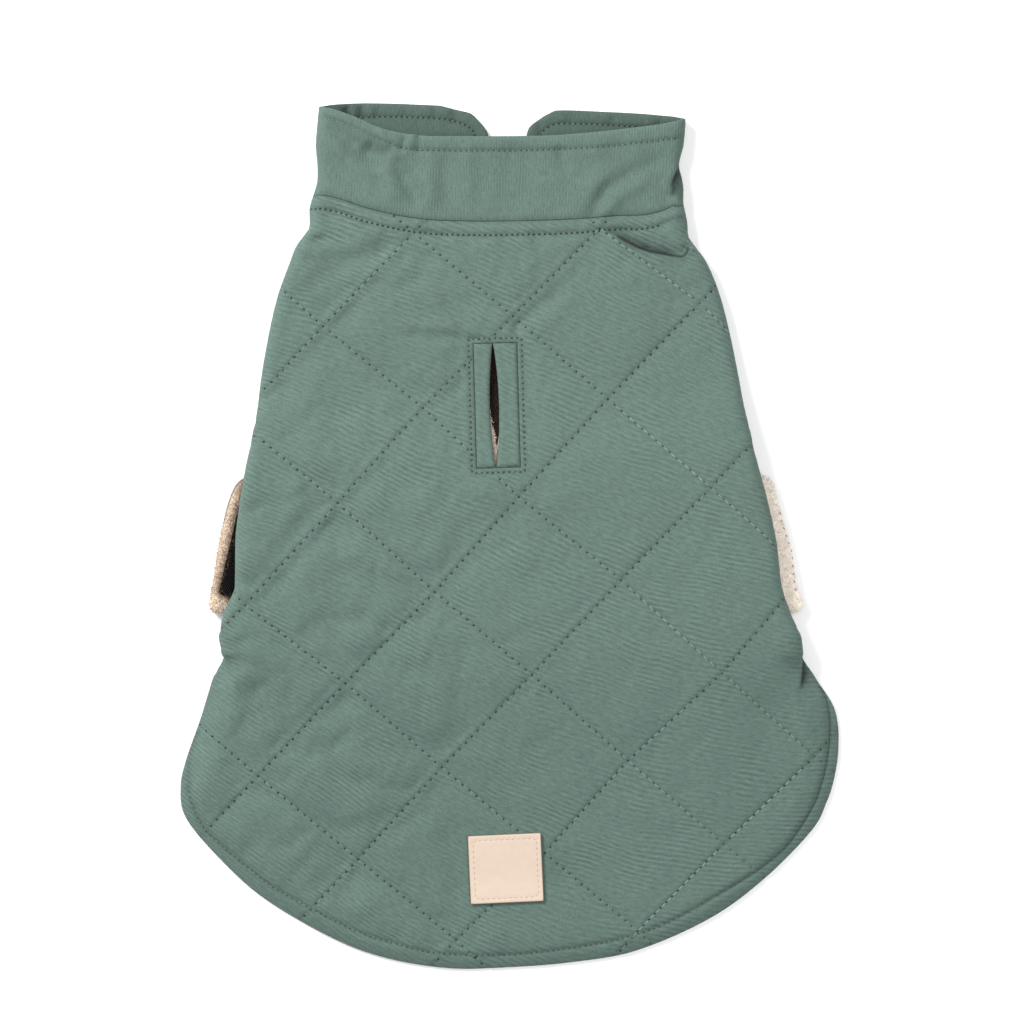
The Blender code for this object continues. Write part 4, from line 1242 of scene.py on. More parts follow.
def stitches(
    name, material, runs, place, width, proud=0.14, cover=0.78, face=1, slot="quilted_shell", pale=None
):
    """Threads lying on a placed pattern between each pair of needle holes; pale gives each thread's share of
    painted highlight.
    """
    start = np.vstack([run[:-1] for run in runs])
    end = np.vstack([run[1:] for run in runs])
    middle = (start + end) / 2
    a, _ = surface_frame(place, middle + (start - middle) * cover, face)
    b, _ = surface_frame(place, middle + (end - middle) * cover, face)
    _, out = surface_frame(place, middle, face)
    along = b - a
    along /= np.maximum(np.linalg.norm(along, axis=1)[:, None], 1e-6)
    across = np.cross(out, along)
    corners = [a - out * 0.1]
    for t, thick in THREAD_RINGS:
        centre = a + (b - a) * t + out * (proud * 4 * t * (1 - t))
        for k in range(THREAD_SIDES):
            angle = 2 * math.pi * k / THREAD_SIDES
            corners.append(centre + width * thick * (across * math.cos(angle) + out * math.sin(angle)))
    corners.append(b - out * 0.1)
    shape = []
    for k in range(THREAD_SIDES):
        n = (k + 1) % THREAD_SIDES
        shape.append((0, 1 + n, 1 + k))
        last = 1 + (len(THREAD_RINGS) - 1) * THREAD_SIDES
        shape += [
            (low + k, low + n, low + THREAD_SIDES + n, low + THREAD_SIDES + k)
            for low in range(1, last, THREAD_SIDES)
        ]
        shape.append((last + k, last + n, len(corners) - 1))
    painted_highlight_share = pale(middle) if pale else np.zeros(len(middle))
    copies(name, material, slot, corners, shape, pale=painted_highlight_share)


def falling_thread_highlight(p):
    """How much of the thread's paler colour, a painted highlight, the quilting's falling lines take: in
    places, more to the right.
    """
    x, y = p.T
    right = ease((x - 20) / 60) * ease((y + 130) / 40)
    return np.clip(0.1 + 0.55 * swell(p, 20, 11) + 0.6 * right, 0, 1)


def rising_thread_highlight(p):
    """The rising lines take less painted highlight and look darker, but for those at the lower right."""
    x, y = p.T
    low_right = ease((x - 20) / 60) * ease((-y - 60) / 50)
    return np.clip(0.1 + 0.4 * swell(p, 20, 12) + 0.9 * low_right, 0, 1)


def make_back_stitches(material):
    def on_top(holes):
        return holds(holes, back_rims) & (turned_under(holes) < 1.2)

    for name, family, pale in (("falling", quilting[0], falling_thread_highlight), ("rising", quilting[1], rising_thread_highlight)):
        runs = []
        for holes in family:
            clear = outside(holes, PATCH_SIZE, PATCH_AT, PATCH_TILT) > 0.5
            runs += kept_runs(holes, on_top(holes) & clear & (from_rims(holes, back_rims) > 1))
        stitches(name + "_quilting_thread", material, runs, back_face, width=0.26, proud=0.16, pale=pale)
    for name, holes in seams.items():
        stitches(name, material, kept_runs(holes, on_top(holes)), back_face, width=0.22, proud=0.1)


# ---- the lining, the straps and the chest ----


def back_fleece(material):
    left, right = slit_mouth(*LINING_SLIT)
    hole = np.vstack([left, right[1:-1]]) + (0, LINING_SLIT_UP)
    rims = [lining_outline(), tilted(hole, SLIT_AT, SLIT_TILT)]
    edge = measure([closed(rims[0])])

    def pile(p):
        thinned = LINING_THINNED * (1 - ease(edge(p)[0] / LINING_INSET))
        return body(p, LINING_OUT - thinned)

    def skin(p):
        resting = p[:, 1] < NOTCH - SKIRT_OPENS_OVER
        tufty = 0.35 * np.maximum(swell(p, 1.7, 3), 0) * resting * ease(edge(p)[0] / 3)
        return body(p, LINING_IN + tufty)

    low_field = sprinkle(rims, 2.4, 2.0)
    low_field = low_field[low_field[:, 1] < NOTCH - 6]
    points = thinned(np.vstack([coarse_points(rims), low_field]), 1.6)
    piece = cloth("back_fleece", rims, pile, skin, coarse_points(rims), points)
    finish(piece, material, "fleece", "back_lining")
    lay_sheet(piece)
    return piece


def strap_shape(side, step=1.5):
    """A belly strap's outline, rooted at one side and reaching across to the other."""
    lower = curve(STRAP["along"], STRAP["lower"])
    upper = curve(STRAP["along"], STRAP["upper"])
    end = 0 if side > 0 else 1
    ends = (STRAP_ENDS["lower_x"][end], STRAP_ENDS["upper_x"][end])
    seam = return_line(side, AIR)[:STRAP_ROWS]
    root = pairs(folded(seam, SHELL_OUT)[:, 0], seam[:, 1])

    def edge(along, height, number):
        first = root[-number, 0]
        return pairs(first + (ends[number] - first) * along, height(along))

    alongs = np.linspace(0, 1, 61)
    low, high = edge(alongs, lower, 0), edge(alongs, upper, 1)
    back, up = STRAP_CORNER
    low[-1] += (side * back, up)
    high[-1] += (side * back, -up)
    t = STRAP_TIP["along"][:, None]
    a, b = edge(np.ones(1), lower, 0), edge(np.ones(1), upper, 1)
    tip = a * (1 - t) + b * t
    tip[:, 0] -= side * STRAP_TIP["left" if side > 0 else "right"]
    tip = spaced(spline(np.vstack([low[-1:], tip, high[-1:]]), 4), step)[1:-1]
    if side < 0:
        y = tip[:, 1]
        tip[:, 0] += 0.45 * waves(y / 1.3, 14) * ease((y + 26) / 8) * ease((18 - y) / 6)
    rim = np.vstack([low, tip, high[::-1], root[1:-1]])
    return rim[::-1] if side > 0 else rim


def strap_height(side, x):
    """How high a strap's outer cloth lies: the right one on the floor, the left one over it."""
    return np.zeros(len(x)) if side > 0 else crossing_height(x)


hook_tape_rim = rectangle(TAPE_SIZE, HOOK_TAPE_AT, -TAPE_TILT, TAPE_CORNER, 1.5)
from_hook_tape = measure([closed(hook_tape_rim)])


def shaded_pile(side):
    """1 where a strap's pile is painted in shade: beside the hook tape, and under the coat's side."""

    def at(p):
        beside_tape = decay(from_hook_tape(p)[0], 1.7)
        beside_coat = 0.9 * decay(np.maximum(left_side(p[:, 1]) - p[:, 0], 0), 2.2) * (p[:, 1] > -30)
        return (side > 0) * np.maximum(beside_tape, beside_coat)

    return at


def belly_strap(side, name, shell, lining):
    """A strap's outer cloth and, on it, its fleece, whose rim this gives back."""
    rim = strap_shape(side)
    fleece_rim = rim.copy()
    if side > 0:
        bare = ease((rim[:, 1] - 3) / 5) * (rim[:, 0] < -112)
        fleece_rim[:, 0] += FLEECE_INSET * bare
        fleece_rim[:, 1] -= 0.6 * FLEECE_INSET * bare
    edge = measure([closed(fleece_rim)])

    def at(level, round_over=0.0, lumps=0.0):
        def place(p):
            off = edge(p)[0]
            drop = round_over * decay(off, 0.6)
            lump = lumps * swell(p, 1.9, 6) * ease(off / 1.0)
            return laid_at(strap_height(side, p[:, 0]) + level - drop + lump)(p)

        return place

    fine = sprinkle([fleece_rim], 1.6, 0.8)
    fine = fine[-side * fine[:, 0] > STRAP_FINE_FROM]
    rough = sprinkle([rim], 6.0, 2.0)
    rough = rough[-side * rough[:, 0] < STRAP_ROUGH_TO]
    rows = beside(closed(fleece_rim)[:-1], -0.5, 0.5, -1.1, 1.1)
    rows = cleared(np.vstack(rows), [fleece_rim], 0.3)
    fine = thinned(np.vstack([rows, fine, rough]), 0.45)
    outer = cloth(name + "_cloth", [rim], at(WING_SHELL), at(0), rough, rough)
    finish(outer, shell, "quilted_shell", name + "_shell")
    pile_top = at(WING_TOP - 0.1, 0.7, 0.1 if side > 0 else 0.2)
    marks = {"deep": shaded_pile(side)}
    pile = cloth(name + "_fleece", [fleece_rim], pile_top, at(WING_SHELL + AIR), fine, rough, marks=marks)
    finish(pile, lining, "fleece", name + "_lining")
    lay_sheet(outer)
    lay_sheet(pile)
    return fleece_rim


def laid_at(height):
    """Places a flat pattern at a height, or at heights, above the floor."""
    return lambda p: np.column_stack([p, np.broadcast_to(height, len(p)).astype(float)])


def chest_flap(side, name, material):
    """Half of the chest, from its side seam to the front edge."""
    lower = curve(FLAP["along"], FLAP["lower"])
    front = FRONT_EDGES[first_or_last(side)]
    line = return_line(side, AIR, FLAP_FOOT)
    seam = pairs(folded(line, SHELL_OUT)[:, 0], line[:, 1])
    foot, neck = seam[0], seam[-1, 1]
    a = np.linspace(0, 1, 33)
    low = pairs(foot[0] + (front - foot[0]) * a, foot[1] + lower(a))
    up = spaced([(front, low[-1, 1]), (front, neck)], 2.0)[1:]
    top = spaced([(front, neck), (seam[-1, 0], neck)], 2.0)[1:]
    rim = np.vstack([low, up, top, seam[-2:0:-1]])
    if side > 0:
        rim = rim[::-1]
    points = sprinkle([rim], 3.0, 1.5)
    edge = measure([closed(rim)])

    def under_face(p):
        off = edge(p)[0]
        return laid_at(0.5 * decay(off, 0.5) + 0.35 * bell(off - 6, 0.8) * (p[:, 1] < neck - 8))(p)

    piece = cloth(name + "_cloth", [rim], laid_at(SHELL), under_face, points, points)
    finish(piece, material, "quilted_shell", name)
    lay_sheet(piece)


# ---- the collar ----


def unrolled(side, x, v):
    """Where a place on the layer underneath lies in the pattern."""
    return 2 * fold_start(side, v) + side * TURN - x


def collar_outline():
    """The collar's outline: one band over the nape, round both sides and along the throat to its ends."""
    starts = {side: float(fold_start(side, COLLAR_LEVEL)) for side in (-1, 1)}
    nape = np.linspace(starts[-1], starts[1], 90)
    nape = pairs(nape, nape_edge(nape))
    halves = []
    for side, throat in ((-1, THROAT_LEFT), (1, THROAT_RIGHT)):
        last = first_or_last(side)
        x = arm_places(throat["x"])
        y = curve(throat["x"], throat["y"])(x)
        arm = pairs(unrolled(side, x, y), y)
        high, low = nape[last][1], throat["y"][last]
        turn = [(starts[side] + side * TURN * t, high * (1 - t) + low * t) for t in COLLAR_TURN]
        turn = spline([nape[last], *turn, arm[last]], 3)[1:-1]
        end = float(unrolled(side, FRONT_EDGES[last], NECK_LEVEL))
        foot = float(neck_height(end, NECK_LEVEL)) + SNUG
        halves.append((arm, turn, end, [(end, v) for v in np.linspace(foot, COLLAR_ENDS_TOP, 12)[::side]]))
    (left_arm, left_turn, left_end, down), (right_arm, right_turn, right_end, up) = halves
    seam = neck_line(left_end, right_end, SNUG)
    return np.vstack([down, seam, up, right_arm, right_turn[::-1], nape[::-1], left_turn, left_arm])


def arm_places(xs, count=60):
    """Places along a throat arm, closer together towards its rounded end."""
    return np.interp(np.linspace(0, len(xs) - 1, count), range(len(xs)), xs)


def throat_line(side, points):
    """A stitched line on the collar's throat side, in the pattern."""
    points = np.array(points, float)
    return pairs(unrolled(side, points[:, 0], points[:, 1]), points[:, 1])


collar_lines = {
    "nape_stitching": NAPE_STITCHING,
    "left_throat_stitching": throat_line(-1, THROAT_STITCHING_LEFT),
    "right_throat_stitching": throat_line(1, THROAT_STITCHING_RIGHT),
}
collar_seams = {name: spaced(spline(line), SEAM_PITCH) for name, line in collar_lines.items()}
from_collar_seams = measure(list(collar_seams.values()))
collar_pits = pits(np.vstack(list(collar_seams.values())))
collar_rim = collar_outline()
from_collar_rim = measure([closed(collar_rim)])


def on_layer_below(p):
    """Where the collar's throat side lies, as seen from above."""
    return pairs(unrolled(past_fold(*p.T)[0], *p.T), p[:, 1])


def on_throat(p):
    return ease((turned_under(p) - 2) / 0.8)


def collar_relief(p):
    """The collar's soft folds, its rolled edge and stitched line; the same on its inner face."""
    seam, along = from_collar_seams(p)
    rim = from_collar_rim(p)[0]
    neck = -below_neck(p)
    angle = turned_under(p)
    lift = (2.0 * creases(p, CREASES) + 1.6 * swell(p, 17, 2) * ease(rim / 10)) * fading(angle, 0, 1)
    lift += 0.9 * swell(p * (1, 0.4), 6, 31) * ease(rim / 6) * fading(angle, 0, 1)
    lift += collar_ledge(p) + creases(on_layer_below(p), THROAT_CREASES) * on_throat(p)
    pucker = ease((angle - 2.6) / 0.4) * bell(rim, 5) * ease(rim / 0.8)
    lift += 0.4 * waves(p[:, 0] / 4.2, 12) * pucker
    lift -= ditch(seam, *COLLAR_DITCH)
    lift += 0.12 * waves(along / 2.0 + 0.25 * rim, 8) * bell(seam, 4.5) * ease(seam / 1.4)
    lift -= 0.8 * decay(rim, 0.5) * ease(neck / 3) + 0.9 * decay(neck, 1.1)
    return lift - COLLAR_HOLE * collar_pits(p, COLLAR_HOLE_WIDTH)


def collar_outer(p):
    return folded(p, SHELL_OUT, collar_relief(p))


def collar_inner(p):
    angle = turned_under(p)
    relief = collar_relief(p)
    sunk = 0.9 * np.minimum(relief + 0.6, 0) * fading(angle, 0, 1) * ease(from_collar_rim(p)[0] / 1.5)
    return folded(p, SHELL_IN + sunk - relief * ease((angle - 2.2) / 0.9))


def collar_needle_painted_shade(p):
    """Painted shade in the needle holes: the nape's holes hardly show at the left, and the throat's show
    more.
    """
    seen = 0.45 + 0.3 * ease((p[:, 0] + 62) / 16)
    return collar_pits(p, COLLAR_MARK_WIDTH) * (seen + (1 - seen) * on_throat(p))


def collar_painted_shade(p):
    """Painted shade: 1 where hardly any light reaches: in the fold at the right, in the throat's pleats, and
    between the layers at the left.
    """
    below = on_layer_below(p)
    pleats = 0.3 * np.clip(-creases(below, THROAT_CREASES), 0, 1.5)
    left_end = 0.4 * fading(below[:, 0], -78, -58) * (below[:, 0] < 0)
    return np.clip(0.9 * collar_fold_painted_shade(p) + (pleats + left_end) * on_throat(p), 0, 1)


# Painted shade: 1 in the collar's stitched ditches and along its edge at the neck seam.
def collar_ditch_painted_shade(p):
    return np.maximum(bell(from_collar_seams(p)[0], 1.5), decay(-below_neck(p), 1.2))


def collar_band(material):
    rims = [collar_rim]
    lines = [refined(holes, 2) for holes in collar_seams.values()]
    rows = []
    for line in lines:
        rows += beside(line, *STITCH_ROWS, *FAR_ROWS)
    rows += beside(closed(collar_rim)[:-1], *RIM_ROWS)
    rows = cleared(np.vstack(rows), rims, 0.3, lines, 0.55)
    field = cleared(sprinkle(rims, 2.2, 2.0), rims, 2.0, lines, 4.0)
    fine = thinned(np.vstack([rows, field, *lines]), 0.6)
    marks = {"needle": collar_needle_painted_shade, "ditch": collar_ditch_painted_shade, "painted_shade": collar_painted_shade}
    piece = cloth("collar_band", rims, collar_outer, collar_inner, fine, fine, (), marks, sharp=70)
    finish(piece, material, "quilted_shell", "collar")
    lay_sheet(piece)


def collar_stitches(material):
    for name, holes in collar_seams.items():
        place, face = (collar_outer, 1) if name == "nape_stitching" else (collar_inner, -1)
        stitches(name, material, [holes], place, width=0.2, proud=0.1, face=face)


# ---- the leash slit's welts, the patch and the tapes ----


def slit_welts(material):
    """The two welts that fill the slit's window, each with one curved lip."""
    half_x, half_y = SLIT_SIZE[0] / 2 - SNUG, SLIT_SIZE[1] / 2 - SNUG
    lips = slit_mouth(SLIT_MOUTH, 2 * half_y, WELT_POINTS)
    rows = np.linspace(-half_y, half_y, WELT_POINTS)
    welts = []
    for side, name, lip in ((-1, "left", lips[0]), (1, "right", lips[1])):
        back = pairs(np.full(WELT_POINTS, side * half_x), rows[::side])
        rim = tilted(np.vstack([lip + (side * WELT_GAP, 0), back]), SLIT_AT, SLIT_TILT)
        edge = measure([closed(rim)])

        def raised(p, edge=edge):
            off = edge(p)[0]
            roll = 0.25 * bell(off - 1.6, 1.2) + 0.08 * waves(p[:, 1] / 5, 9)
            return body(p, SHELL_OUT, WELT_PROUD - 0.1 + roll - 0.9 * decay(off, 0.55))

        rows_in = cleared(np.vstack(beside(closed(rim)[:-1], 0.3, 0.8, 1.5)), [rim], 0.25)
        fine = thinned(np.vstack([rows_in, sprinkle([rim], 1.3, 1.2)]), 0.25)
        below = sprinkle([rim], 3, 1)
        piece = cloth(name + "_welt", [rim], raised, at_offset(SHELL_IN + AIR), fine, below, sharp=80)
        finish(piece, material, "quilted_shell", "slit_welt_" + name)
        welts.append(piece)
    return welts


def leather_patch(material, thread):
    """The bare patch in its seat, with stitching all round."""
    rim = rectangle(PATCH_SIZE, PATCH_AT, PATCH_TILT, PATCH_CORNER, 0.8)
    edge = measure([closed(rim)])
    inner = [x - 2 * PATCH_STITCHING for x in PATCH_SIZE]
    holes = spaced(closed(rectangle(inner, PATCH_AT, PATCH_TILT, 0.8, 0.5)), SEAM_PITCH)
    line = measure([holes])
    patch_pits = pits(holes)
    seat = PATCH_SEAT + AIR

    def top(p):
        lift = seat + LEATHER - 0.3 * decay(edge(p)[0], 0.2) - ditch(line(p)[0], *PATCH_DITCH)
        return body(p, SHELL_OUT, lift - PATCH_HOLE * patch_pits(p, PATCH_HOLE_WIDTH))

    rows = beside(closed(rim)[:-1], 0.25, 0.6, 1.1)
    rows += beside(holes, -0.5, 0.5) + [refined(holes, 4)]
    fine = cleared(np.vstack(rows), [rim], 0.2)
    fine = thinned(np.vstack([fine, sprinkle([rim], 1.1, 1.0)]), 0.22)
    below = sprinkle([rim], 4, 2)
    marks = {"edge": lambda p: decay(edge(p)[0], 0.4)}
    under_face = at_offset(SHELL_OUT, seat)
    piece = cloth("bare_patch", [rim], top, under_face, fine, below, marks=marks, sharp=60)
    finish(piece, material, "patch_leather", "leather_patch")
    stitches("patch_stitching", thread, [holes], top, width=0.17, proud=0.12, slot="patch_leather")
    return piece


def closure_tape(name, material, slot, node_name, rim, height):
    fine = sprinkle([rim], 1.5, 0.8)
    piece = cloth(name, [rim], laid_at(height + TAPE), laid_at(height), fine, sprinkle([rim], 5, 3))
    finish(piece, material, slot, node_name)


def tape_hooks(material, rim, height):
    """Small stiff hooks in rows on the hook tape, each a bent spike with three sides."""
    roots = sprinkle([rim], 1.05, 1.2)
    angle = waves(roots[:, 0] * 3.1 + roots[:, 1] * 1.7, 2) * 2.5
    lean = pairs(np.cos(angle), np.sin(angle))
    across = pairs(-lean[:, 1], lean[:, 0])
    corners = []
    for reach, rise, half in HOOK_RINGS:
        for turn, back, up in ((-1, 0, 0), (1, 0, 0), (0, 0.15, 0.14)):
            flat = roots + lean * (reach - back) + across * half * HOOK_WIDTH * turn
            corners.append(np.column_stack([flat, np.full(len(flat), height + rise + up)]))
    shape = []
    for low in (0, 3, 6):
        shape += [(low + i, low + (i + 1) % 3, low + 3 + (i + 1) % 3, low + 3 + i) for i in range(3)]
    copies("tape_hooks", material, "black_tape", corners, [*shape, (9, 10, 11)])


def strands(name, material, base, way, length, thick, curl, deep):
    """Short tapering locks of pile, each with three sides; deep is how much of each takes the painted shade
    colour.
    """
    way = way / np.linalg.norm(way, axis=1)[:, None]
    across = np.cross(way, np.roll(way, 1, axis=1) + (0.3, 0.1, 0.2))
    across /= np.linalg.norm(across, axis=1)[:, None]
    second = np.cross(way, across)
    corners = []
    for t, share in ((0.0, 1.0), (0.6, 0.85)):
        centre = base + way * (length * t)[:, None] + curl * t * t
        for k in range(3):
            angle = 2 * math.pi * k / 3
            corners.append(centre + thick * share * (across * math.cos(angle) + second * math.sin(angle)))
    corners.append(base + way * length[:, None] + curl)
    shape = [(k, (k + 1) % 3, 3 + (k + 1) % 3, 3 + k) for k in range(3)]
    shape += [(3 + k, 3 + (k + 1) % 3, 6) for k in range(3)]
    copies(name, material, "fleece", corners, shape, deep=deep)


def strap_pile(name, material, rim, side, seed):
    """Pile standing on and around a strap's shown end, brushed outwards and towards the hook tape."""
    rng = np.random.default_rng(seed)
    low, high = rim.min(0), rim.max(0)
    span = (STRAP_PILE_FROM, high[0]) if side < 0 else (low[0], -STRAP_PILE_FROM)
    tries = 3 * STRAP_STRANDS
    roots = pairs(rng.uniform(*span, tries), rng.uniform(low[1], high[1], tries))
    roots = roots[holds(roots, [rim])][:STRAP_STRANDS]
    edge = measure([closed(rim)])
    off = edge(roots)[0]
    slope = np.stack([edge(roots + step)[0] - edge(roots - step)[0] for step in ((0.5, 0), (0, 0.5))], axis=1)
    outward = -slope / np.maximum(np.linalg.norm(slope, axis=1), 1e-6)[:, None]
    clump = pairs(swell(roots, 1.6, seed), swell(roots, 1.6, seed + 5))
    brushed = (0.5 + 0.8 * decay(off, 1.2))[:, None]
    lean = outward * brushed + 0.25 * clump + rng.normal(0, 0.1, (len(roots), 2))
    heights = WING_TOP - 0.5 - 0.6 * decay(off, 0.5) + strap_height(side, roots[:, 0])
    base = np.column_stack([roots, heights])
    length = rng.uniform(0.8, 1.7, len(roots))
    if side > 0:
        by_tape = bell(from_hook_tape(roots)[0], 1.5) * ~inside(roots, hook_tape_rim)
        to_tape = np.array(HOOK_TAPE_AT) - roots
        to_tape /= np.linalg.norm(to_tape, axis=1)[:, None]
        lean = lean * (1 - by_tape)[:, None] + to_tape * (0.7 * by_tape)[:, None]
        length *= 1 + 1.1 * by_tape
    way = np.column_stack([lean, np.full(len(roots), 0.8)])
    curl = rng.normal(0, 0.06, base.shape)
    strands(name, material, base, way, length, STRAND, curl, shaded_pile(side)(roots))


def strap_end_stitches(material):
    """The stitches of the loop tape, which show through at the left strap's end."""
    path = spaced(spline(STRAP_END_STITCHING), STRAP_END_PITCH)

    def place(p):
        return laid_at(strap_height(-1, p[:, 0]) + WING_TOP + 0.35)(p)

    stitches("strap_end_stitching", material, [path], place, width=0.28, cover=0.42, slot="green_tape")


def slit_pile(dark, light):
    """The lining's pile where its slit shows through the coat's: near-black as painted shade in the depth,
    and cream where lit at the lower left.
    """
    rng = np.random.default_rng(8)
    count = SLIT_STRANDS
    across = rng.uniform(-1, 1, count)
    along = rng.uniform(-1, 1, count)
    bow = LINING_SLIT[0] / 2 * (1 - along**2)
    depth = rng.uniform(0.2, 1.7, count)
    v = along * LINING_SLIT[1] / 2 * 0.98 + LINING_SLIT_UP
    flat = pairs(SLIT_MOUTH_AT + across * bow, v)
    base = body(tilted(flat, SLIT_AT, SLIT_TILT), depth)
    way = np.column_stack([rng.normal(0, 1, count), rng.normal(0, 0.8, count), rng.uniform(-0.2, 0.5, count)])
    length = rng.uniform(0.9, 1.7, count)
    curl = rng.normal(0, 0.15, base.shape)
    lit = across < -1.35 - 1.6 * along + rng.uniform(-0.2, 0.2, count)
    lit &= along < -0.15
    for name, material, chosen, up in (("dark", dark, ~lit, 0.0), ("lit", light, lit, 0.9)):
        raised = base[chosen] + (0, 0, up)
        bare = np.zeros(len(raised))
        thick = 2 * STRAND
        strands("slit_pile_" + name, material, raised, way[chosen], length[chosen], thick, curl[chosen], bare)


# ---- finishing a piece ----


def finish(piece, material, slot, *nodes):
    """Gives a piece its finish, ties it to the coat and hides the plain nodes it stands for."""
    piece.data.materials.append(material)
    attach(piece, BODY)
    if nodes:
        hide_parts(*nodes)


def lay_sheet(piece):
    tuple(piece["cut_size"])


# ---- materials ----


class Finish:
    """A material while its nodes are laid out; what the methods return are nodes' outputs."""

    def __init__(self, name, roughness, sheen=0.0, gloss=0.5):
        self.material = bpy.data.materials.new(name)
        self.material.use_nodes = True
        self.tree = self.material.node_tree
        self.shader = self.tree.nodes["Principled BSDF"]
        settings = {"Roughness": roughness, "Sheen Weight": sheen, "Sheen Roughness": 0.6}
        settings["Specular IOR Level"] = gloss
        for socket, value in settings.items():
            self.shader.inputs[socket].default_value = value

    def node(self, kind, inputs, output=0, **settings):
        """A new node, with numbers or other nodes' outputs at its inputs, given by name or number."""
        made = self.tree.nodes.new("ShaderNode" + kind)
        for key, value in settings.items():
            setattr(made, key, value)
        for key, value in inputs.items():
            if isinstance(value, bpy.types.NodeSocket):
                self.tree.links.new(value, made.inputs[key])
            else:
                made.inputs[key].default_value = value
        return made.outputs[output]

    def add(self, a, b):
        return self.node("Math", {0: a, 1: b}, operation="ADD")

    def times(self, a, b):
        return self.node("Math", {0: a, 1: b}, operation="MULTIPLY")

    def about_zero(self, pattern):
        """A pattern that runs from 0 to 1, shifted to lie about 0."""
        return self.node("Math", {0: pattern, 1: 0.5}, operation="SUBTRACT")

    def mix(self, share, a, b):
        return self.node("Mix", {0: share, 6: a, 7: b}, 2, data_type="RGBA", blend_type="MIX")

    def ramp(self, value, low, high, to_low=0.0, to_high=1.0):
        ends = {"From Min": low, "From Max": high, "To Min": to_low, "To Max": to_high}
        return self.node("MapRange", {"Value": value, **ends}, interpolation_type="SMOOTHSTEP")

    def mark(self, name):
        """An amount that the mesh carries at each corner."""
        return self.node("Attribute", {}, "Fac", attribute_name=name)

    def place(self):
        return self.node("TexCoord", {}, "Object")

    def noise(self, vector, scale, detail, **more):
        return self.node("TexNoise", {"Vector": vector, "Scale": scale, "Detail": detail, **more})

    def stretched(self, vector, *scale):
        return self.node("Mapping", {"Vector": vector, "Scale": scale})

    def done(self, colour, height=None, strength=0.0, distance=0.0):
        """Gives the shader its colour and, from a height pattern, its small bumps."""
        self.tree.links.new(colour, self.shader.inputs["Base Color"])
        if height:
            bumps = {"Strength": strength, "Distance": distance, "Height": height}
            self.tree.links.new(self.node("Bump", bumps), self.shader.inputs["Normal"])
        return self.material


def darker(colour, share):
    return tuple(c * share for c in colour[:3]) + (1,)


def woven_cloth(name, base, tilt, period, waver, ribbed, flow, hole, bow=(0.0, 0.0)):
    """Plain woven cloth with fine ribs that bow and drift, needle holes and stitched ditches; painted shade
    darkens its inner faces, ditches, deep folds and needle holes.
    """
    f = Finish(name, 0.9, 0.05, 0.25)
    cut = f.node("UVMap", {}, uv_map="cut")
    x = f.node("SeparateXYZ", {"Vector": cut}, "X")
    y = x.node.outputs["Y"]
    bowed = f.times(f.times(x, x), f.add(f.times(y, bow[1]), bow[0]))
    drift = f.times(f.about_zero(f.noise(cut, 21.0, 1.0)), flow)
    drift = f.node("CombineXYZ", {"Y": f.add(drift, bowed)})
    turned = f.node("Mapping", {"Vector": cut, "Rotation": (0, 0, math.radians(tilt))})
    turned = f.node("VectorMath", {0: turned, 1: drift}, operation="ADD")
    scale = 2 * math.pi / 20 / (period * MM)
    wave = {"Vector": turned, "Scale": scale, "Distortion": waver, "Detail": 2.0, "Detail Scale": 0.7}
    ribs = f.node("TexWave", wave, "Fac", wave_type="BANDS", bands_direction="Y")
    streaks = f.noise(f.stretched(turned, 290, 1850 / period, 1), 1.0, 2.0, Roughness=0.6)
    yarns = f.noise(f.stretched(turned, 1500, 2200, 1), 1.0, 1.0)
    patchy = f.noise(cut, 60.0, 2.0)
    cloudy = f.noise(cut, 18.0, 3.0)
    depth = f.times(f.ramp(patchy, 0.35, 0.65, 0.2, 1.0), f.ramp(cloudy, 0.4, 0.6, 0.65, 1.25))
    ribbing = f.times(f.about_zero(ribs), depth)
    tone = f.add(f.times(ribbing, ribbed), 1.0)
    for pattern, share in ((streaks, 0.75), (yarns, 0.7), (cloudy, 0.10)):
        tone = f.add(tone, f.times(f.about_zero(pattern), share))
    # Painted shade: darker on inner faces, in stitched ditches and at the neck seam, and darkest in deep
    # folds.
    for mark, deepest in (("inside", 0.7), ("ditch", 0.88), ("painted_shade", 0.1)):
        tone = f.times(tone, f.ramp(f.mark(mark), 0.0, 1.0, 1.0, deepest))
    colour = f.node("VectorMath", {0: base[:3], "Scale": tone}, operation="SCALE")
    # The needle holes take a darker colour, as painted shade in them.
    colour = f.mix(f.ramp(f.mark("needle"), 0.25, 0.8), colour, darker(base, hole))
    return f.done(colour, f.add(f.times(ribbing, 0.6), f.times(streaks, 0.8)), 0.5, 0.0003)


def thread_finish(name, colour, pale=None):
    """Sewing thread; where its pale attribute is 1 it takes the paler colour, a painted highlight."""
    f = Finish(name, 0.5, 0.2)
    fibre = f.noise(f.place(), 2600.0, 1.0)
    main = f.mix(f.mark("pale"), colour, pale or colour)
    return f.done(f.mix(f.ramp(fibre, 0.35, 0.65, 0.72, 1.0), (0, 0, 0, 1), main))


def fleece_finish(name, light, dark, sheen=0.35):
    """Pile fleece: small curled locks, darker between them; where its deep mark is 1 it takes a painted shade
    colour.
    """
    f = Finish(name, 0.95, sheen, 0.2)
    place = f.place()
    locks = f.noise(place, 420.0, 3.0, Distortion=1.2)
    fine = f.noise(place, 1900.0, 2.0)
    tone = f.add(f.times(locks, 0.7), f.times(fine, 0.3))
    colour = f.mix(f.ramp(tone, 0.34, 0.58), dark, light)
    return f.done(f.mix(f.mark("deep"), colour, SHADED_PILE), tone, 0.35, 0.0006)


